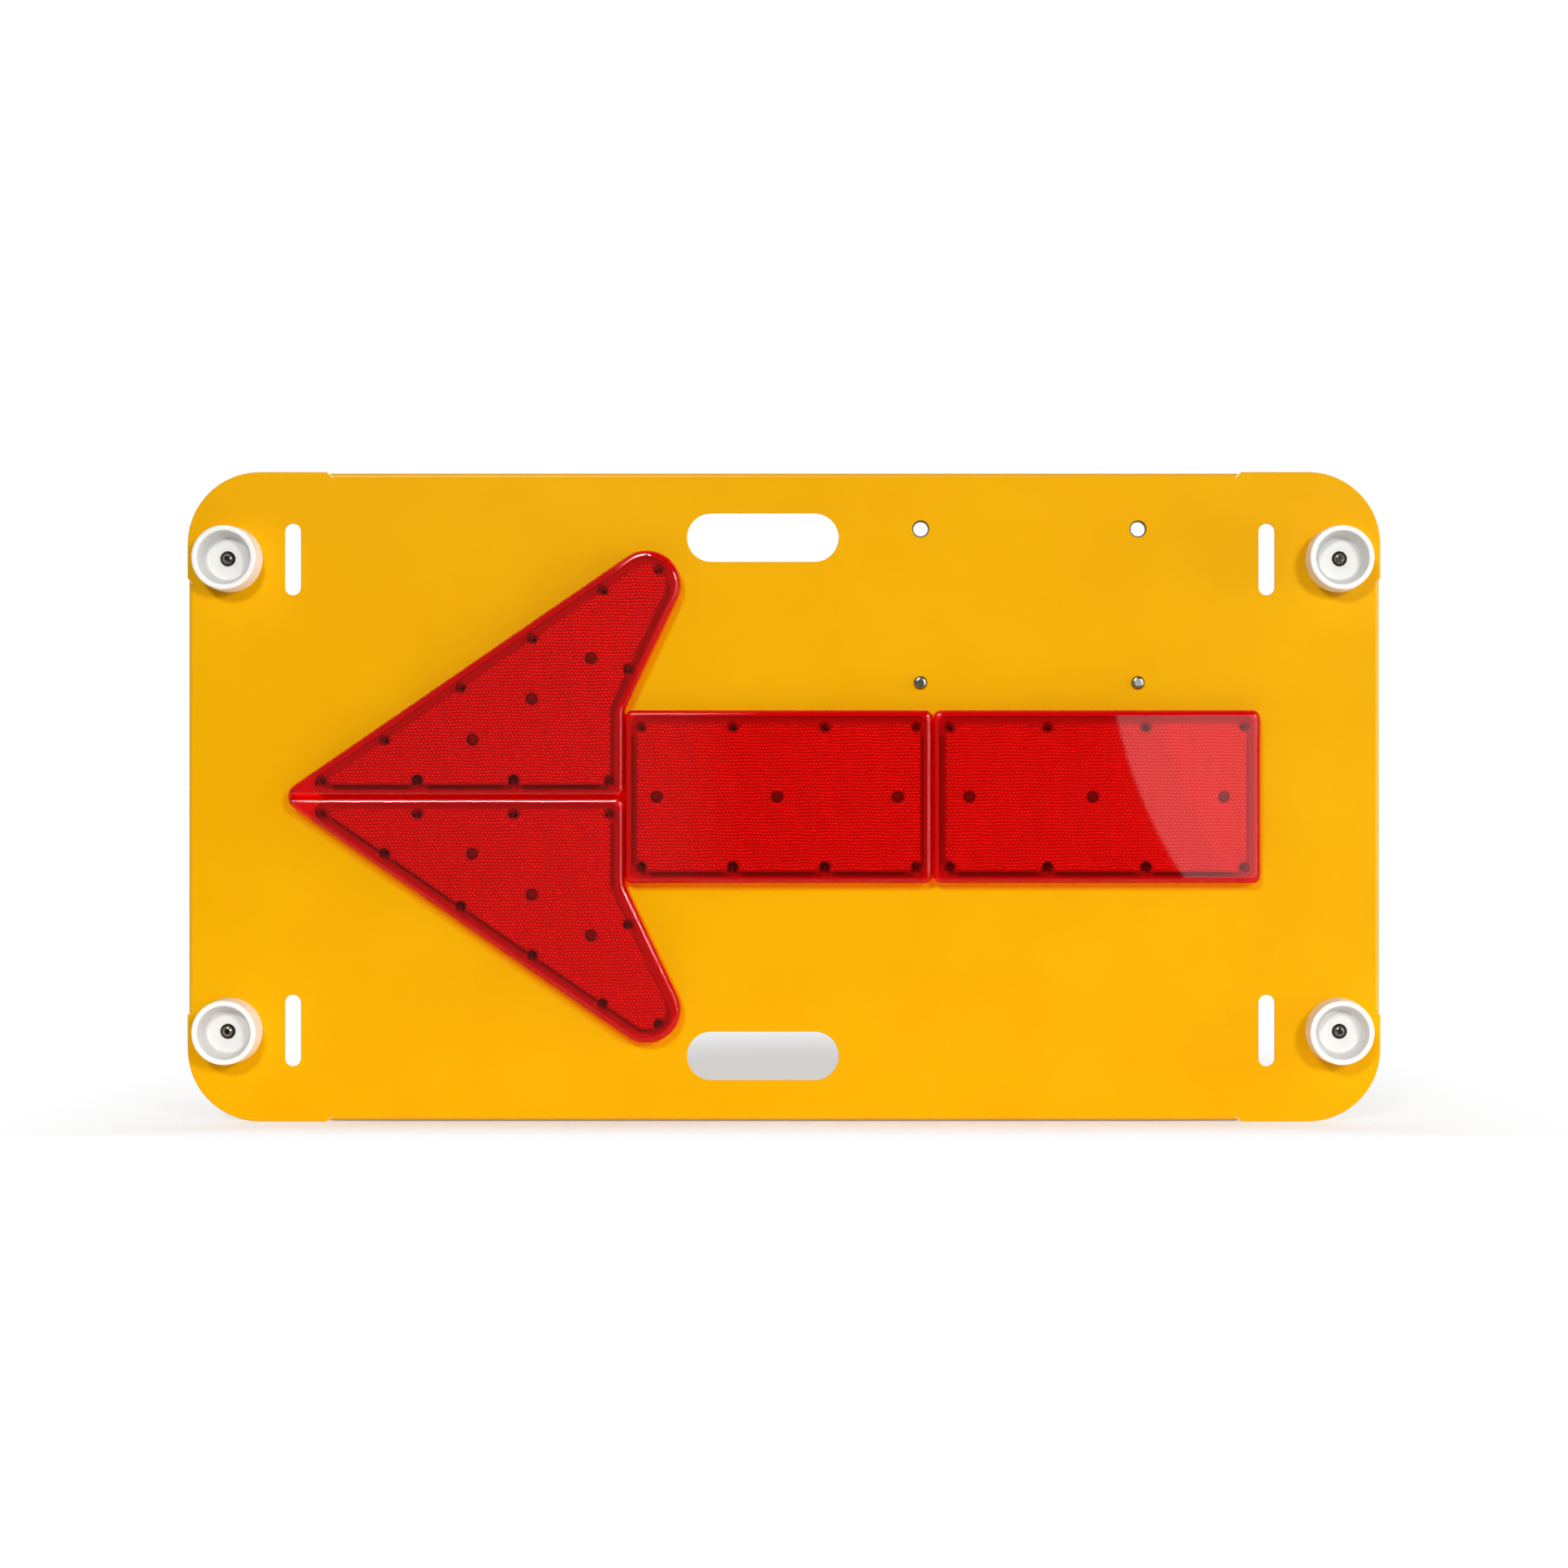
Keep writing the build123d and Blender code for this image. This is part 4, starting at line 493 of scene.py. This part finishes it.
def prism_field(name, seed):
    """Plate and cells of one module as a plain mesh."""
    low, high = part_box(name)
    front = low.y + PLATE_CUT
    body = bmesh.new()
    body.from_mesh(nodes[name].data)
    bmesh.ops.remove_doubles(body, verts=body.verts, dist=SAME_POINT)
    sides = {"left": (0, low, -1), "right": (0, high, 1), "low": (2, low, -1), "high": (2, high, 1)}
    for side in GROWN_SIDES[name.removesuffix("_prism_plate")]:
        axis, corner, way = sides[side]
        for vert in body.verts:
            if abs(vert.co[axis] - corner[axis]) < ON_SIDE:
                vert.co[axis] += way * FIELD_GROW
        corner[axis] += way * FIELD_GROW
    for vert in body.verts:
        vert.co.y = max(vert.co.y, front)
    plate = bpy.data.meshes.new(name + "_body")
    body.to_mesh(plate)
    body.free()
    holder = bpy.data.objects.new(name + "_cells", plate)
    bpy.context.scene.collection.objects.link(holder)
    modifier = holder.modifiers.new("cells", "NODES")
    modifier.node_group = prism_tree
    sizes = {
        "Columns": math.ceil((high.x - low.x) / CELL_PITCH) + 1,
        "Rows": math.ceil((high.z - low.z) / CELL_ROW) + 1,
        "Start": (low.x, front, low.z), "Pitch": CELL_PITCH, "Row Pitch": CELL_ROW,
        "Wander": ROW_WANDER, "Wander Length": WANDER_LENGTH, "Wander Shift": WANDER_SHIFT,
        "Cell Size": CELL_SIZE, "Edge Gap": EDGE_GAP, "Full Gap": FULL_GAP, "Tilt": CELL_TILT, "Seed": seed,
        "Finish": FINISH["prism_silver"]}
    for key, value in sizes.items():
        modifier[socket[key]] = value
    shown = holder.evaluated_get(bpy.context.evaluated_depsgraph_get())
    mesh = bpy.data.meshes.new_from_object(shown)
    bpy.data.objects.remove(holder)
    piece = bpy.data.objects.new(name + "_field", mesh)
    bpy.context.scene.collection.objects.link(piece)
    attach(piece, "board")
    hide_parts(name)
    return piece


plates = [name for name in nodes if name.endswith("_prism_plate")]
for seed, name in enumerate(sorted(plates)):
    piece = prism_field(name, seed)
    piece.data.calc_loop_triangles()
    print(piece.name, len(piece.data.loop_triangles), "triangles")

# %% [markdown]
# The photo was taken square on, a little to the right of the board's middle, with a long lens. The camera
# stands 2.6 m in front of the panel, level, and is shifted sideways so that the board stays in the middle of
# the frame and nothing leans.

# %% Camera
PANEL_Y = -13.25 * MM
VIEW_DISTANCE = 2.6
VIEW_WIDTH = 1.1828
VIEW_X = 0.090
VIEW_Z = 0.2546
SENSOR = 36.0
camera = bpy.data.cameras.new("photo camera")
camera.sensor_width = SENSOR
camera.lens = SENSOR * VIEW_DISTANCE / VIEW_WIDTH
camera.shift_x = -VIEW_X / VIEW_WIDTH
stand = bpy.data.objects.new("photo camera", camera)
stand.location = (VIEW_X, PANEL_Y - VIEW_DISTANCE, VIEW_Z)
stand.rotation_euler = (math.pi / 2, 0, 0)
bpy.context.scene.collection.objects.link(stand)
bpy.context.scene.camera = stand
print("camera lens", round(camera.lens, 2), "mm, shift", round(camera.shift_x, 4))

# %% [markdown]
# A studio sweep has no edge: the floor and the wall behind melt into one white. A large floor does that when
# it fades to plain white away from the board, soonest in front, where no shadow falls. Near the board it
# stays a real matte floor with a lift that only the eye sees, so it keeps the shadow and throws light back
# up.

# %% Floor
FLOOR_REACH = 20.0
FLOOR_FRONT = -0.5
FLOOR_LIFT = 0.19
FADE_FRONT = 0.15
FADE_ROUND = (0.25, 0.62)
FADE_OVAL = (1.0, 0.5, 1.0)
mesh = bpy.data.meshes.new("floor")
mesh.from_pydata([
    (-FLOOR_REACH, FLOOR_FRONT, 0), (FLOOR_REACH, FLOOR_FRONT, 0), (FLOOR_REACH, FLOOR_REACH, 0),
    (-FLOOR_REACH, FLOOR_REACH, 0)], [], [(0, 1, 2, 3)])
floor = bpy.data.objects.new("floor", mesh)
bpy.context.scene.collection.objects.link(floor)
material = bpy.data.materials.new("white sweep paper")
material.use_nodes = True
tree = material.node_tree
tree.nodes.clear()
path = add(tree, "ShaderNodeLightPath").outputs
seen = add(tree, "ShaderNodeMath", {
    0: path["Is Camera Ray"], 1: path["Is Transmission Ray"]}, operation="MAXIMUM")
spot = place(tree)
oval = add(tree, "ShaderNodeVectorMath", {0: spot, 1: FADE_OVAL}, operation="MULTIPLY")
away = add(tree, "ShaderNodeVectorMath", {0: oval.outputs[0]}, operation="LENGTH")
fade = add(tree, "ShaderNodeMapRange", {
    "Value": away.outputs["Value"], "From Min": FADE_ROUND[0], "From Max": FADE_ROUND[1]},
    interpolation_type="SMOOTHSTEP")
ahead = add(tree, "ShaderNodeMapRange", {
    "Value": add(tree, "ShaderNodeSeparateXYZ", {"Vector": spot}).outputs["Y"], "From Min": 0.0,
    "From Max": -FADE_FRONT}, interpolation_type="SMOOTHSTEP")
fade = add(tree, "ShaderNodeMath", {0: fade.outputs[0], 1: ahead.outputs[0]}, operation="MAXIMUM")
far = add(tree, "ShaderNodeMath", {0: fade.outputs[0], 1: seen.outputs[0]}, operation="MULTIPLY")
lift = add(tree, "ShaderNodeMath", {0: seen.outputs[0], 1: FLOOR_LIFT}, operation="MULTIPLY")
paper = add(tree, "ShaderNodeBsdfDiffuse", {"Color": linear("#F4F4F4")})
glow = add(tree, "ShaderNodeEmission", {"Color": linear("#FFFFFF"), "Strength": lift.outputs[0]})
near = add(tree, "ShaderNodeAddShader", {0: paper.outputs[0], 1: glow.outputs[0]})
white = add(tree, "ShaderNodeEmission", {"Color": linear("#FFFFFF"), "Strength": 1.0})
sweep = add(tree, "ShaderNodeMixShader", {0: far.outputs[0], 1: near.outputs[0], 2: white.outputs[0]})
add(tree, "ShaderNodeOutputMaterial", {"Surface": sweep.outputs[0]})
mesh.materials.append(material)
print("floor starts", FLOOR_FRONT, "m in front, lift", FLOOR_LIFT)

# %% [markdown]
# The room: white behind the board, where the sweep hangs, and dim behind the camera, where the studio is dark
# and a little less so on the left. The polished lenses mirror that dark side, which keeps their red deep and
# lays a faint veil over the arrowhead. The white side also lights the back of the board, its folded edges and
# the floor, a little less than white so that nothing there is blown out. Matte surfaces also get light from
# both ends of the room, most of it from the right.

# %% Room
ROOM_DIM = (0.17, 0.05)
ROOM_LIGHT = {"left": 0.30, "front": 0.03, "right": 1.60, "behind": 0.74}
BEHIND_SOFT = 0.15
DIM_EDGE = (-0.070, -0.045)
SIDE_RAMP = (0.65, 0.95)
world = bpy.data.worlds.new("studio room")
bpy.context.scene.world = world
world.use_nodes = True
tree = world.node_tree
tree.nodes.clear()
path = add(tree, "ShaderNodeLightPath").outputs
way = add(tree, "ShaderNodeSeparateXYZ", {"Vector": add(tree, "ShaderNodeTexCoord").outputs["Generated"]})
behind = add(tree, "ShaderNodeMapRange", {
    "Value": way.outputs["Y"], "From Min": -BEHIND_SOFT, "From Max": BEHIND_SOFT},
    interpolation_type="SMOOTHSTEP").outputs[0]
dim = add(tree, "ShaderNodeMapRange", {
    "Value": way.outputs["X"], "From Min": DIM_EDGE[0], "From Max": DIM_EDGE[1], "To Min": ROOM_DIM[0],
    "To Max": ROOM_DIM[1]}, interpolation_type="SMOOTHSTEP").outputs[0]
mirror = add(tree, "ShaderNodeMix", {0: behind, 2: dim, 3: 1.0})
sides = [add(tree, "ShaderNodeMapRange", {
    "Value": way.outputs["X"], "From Min": SIDE_RAMP[0] * sign, "From Max": SIDE_RAMP[1] * sign,
    "To Min": ROOM_LIGHT["front"], "To Max": ROOM_LIGHT[side]}).outputs[0]
    for side, sign in (("left", -1), ("right", 1))]
ahead = add(tree, "ShaderNodeMath", {0: sides[0], 1: sides[1]}, operation="MAXIMUM")
lit = add(tree, "ShaderNodeMix", {0: behind, 2: ahead.outputs[0], 3: ROOM_LIGHT["behind"]})
mirrored = add(tree, "ShaderNodeMath", {
    0: path["Is Glossy Ray"], 1: path["Is Transmission Ray"]}, operation="MAXIMUM")
room = add(tree, "ShaderNodeMix", {0: mirrored.outputs[0], 2: lit.outputs[0], 3: mirror.outputs[0]})
shown = add(tree, "ShaderNodeMix", {0: path["Is Camera Ray"], 2: room.outputs[0], 3: 1.0})
sky = add(tree, "ShaderNodeBackground", {"Color": linear("#FFFFFF"), "Strength": shown.outputs[0]})
add(tree, "ShaderNodeOutputWorld", {"Surface": sky.outputs[0]})
print("room mirrors", ROOM_DIM, "in front and lights", ROOM_LIGHT)

# %% [markdown]
# Lamps. Two softboxes far in front, one high on the left and one on the right, give each bumper its two short
# shadows. A large round softbox to the right gives the bright arc that the last lens mirrors. A white card on
# the floor fills the lower half of the panel, and a softbox far out to the right grazes past the panel and
# whitens the sides of the bumpers. Both are kept out of the mirrors. Two banks, above the camera to the left
# and far right, are there for their mirror image alone: they draw the light lines on the rounded lens edges
# and the screws, and add nothing to the matte light, nor does the round softbox. Together the lamps light the
# panel at the level where a colour looks as written.

# %% Lamps
AIM = Vector((0.0, PANEL_Y, 0.245))
EDGE_GLOW = 7.5


def softbox(name, spot, power, size, shape="SQUARE", height=None, aim=AIM):
    """Area lamp at a spot, turned towards a point."""
    light = bpy.data.lights.new(name, "AREA")
    light.energy = power
    light.shape = shape
    light.size = size
    if height:
        light.size_y = height
    lamp = bpy.data.objects.new(name, light)
    lamp.location = spot
    lamp.rotation_euler = (Vector(aim) - Vector(spot)).to_track_quat("-Z", "Y").to_euler()
    lamp.visible_camera = False
    bpy.context.scene.collection.objects.link(lamp)
    print(name, "at", [round(v, 2) for v in spot], power, "W")
    return lamp


KEY_AWAY = 6.0
KEY_SIZE = 0.8
LEFT_WAY = Vector((-0.18, -1.0, 0.37)).normalized()
RIGHT_WAY = Vector((0.41, -1.0, 0.25)).normalized()
softbox("left softbox", AIM + LEFT_WAY * KEY_AWAY, power=147.0, size=KEY_SIZE)
softbox("right softbox", AIM + RIGHT_WAY * KEY_AWAY, power=131.0, size=KEY_SIZE)
ROUND_SPOT = Vector((1.095, PANEL_Y - VIEW_DISTANCE, 0.50))
arc = softbox(
    "round softbox", ROUND_SPOT, power=6.9, size=1.4, shape="DISK", aim=ROUND_SPOT + Vector((0, 1, 0)))
arc.visible_diffuse = False
card = softbox(
    "floor card", (0.0, -0.55, 0.03), power=0.45, size=1.2, shape="RECTANGLE", height=0.2,
    aim=(0.0, PANEL_Y, 0.1))
card.visible_glossy = False
side = softbox("side softbox", (3.0, -0.40, 0.35), power=23.0, size=0.8)
side.visible_glossy = False
for name, spot, width, height in (
        ("upper edge bank", (-0.58, -2.35, 1.95), 0.8, 0.9),
        ("right edge bank", (2.2, -2.2, 0.4), 0.5, 2.0)):
    power = EDGE_GLOW * math.pi * width * height
    bank = softbox(name, spot, power, size=width, shape="RECTANGLE", height=height)
    bank.visible_diffuse = False

# %% Finish
bpy.context.scene.view_settings.view_transform = "Standard"
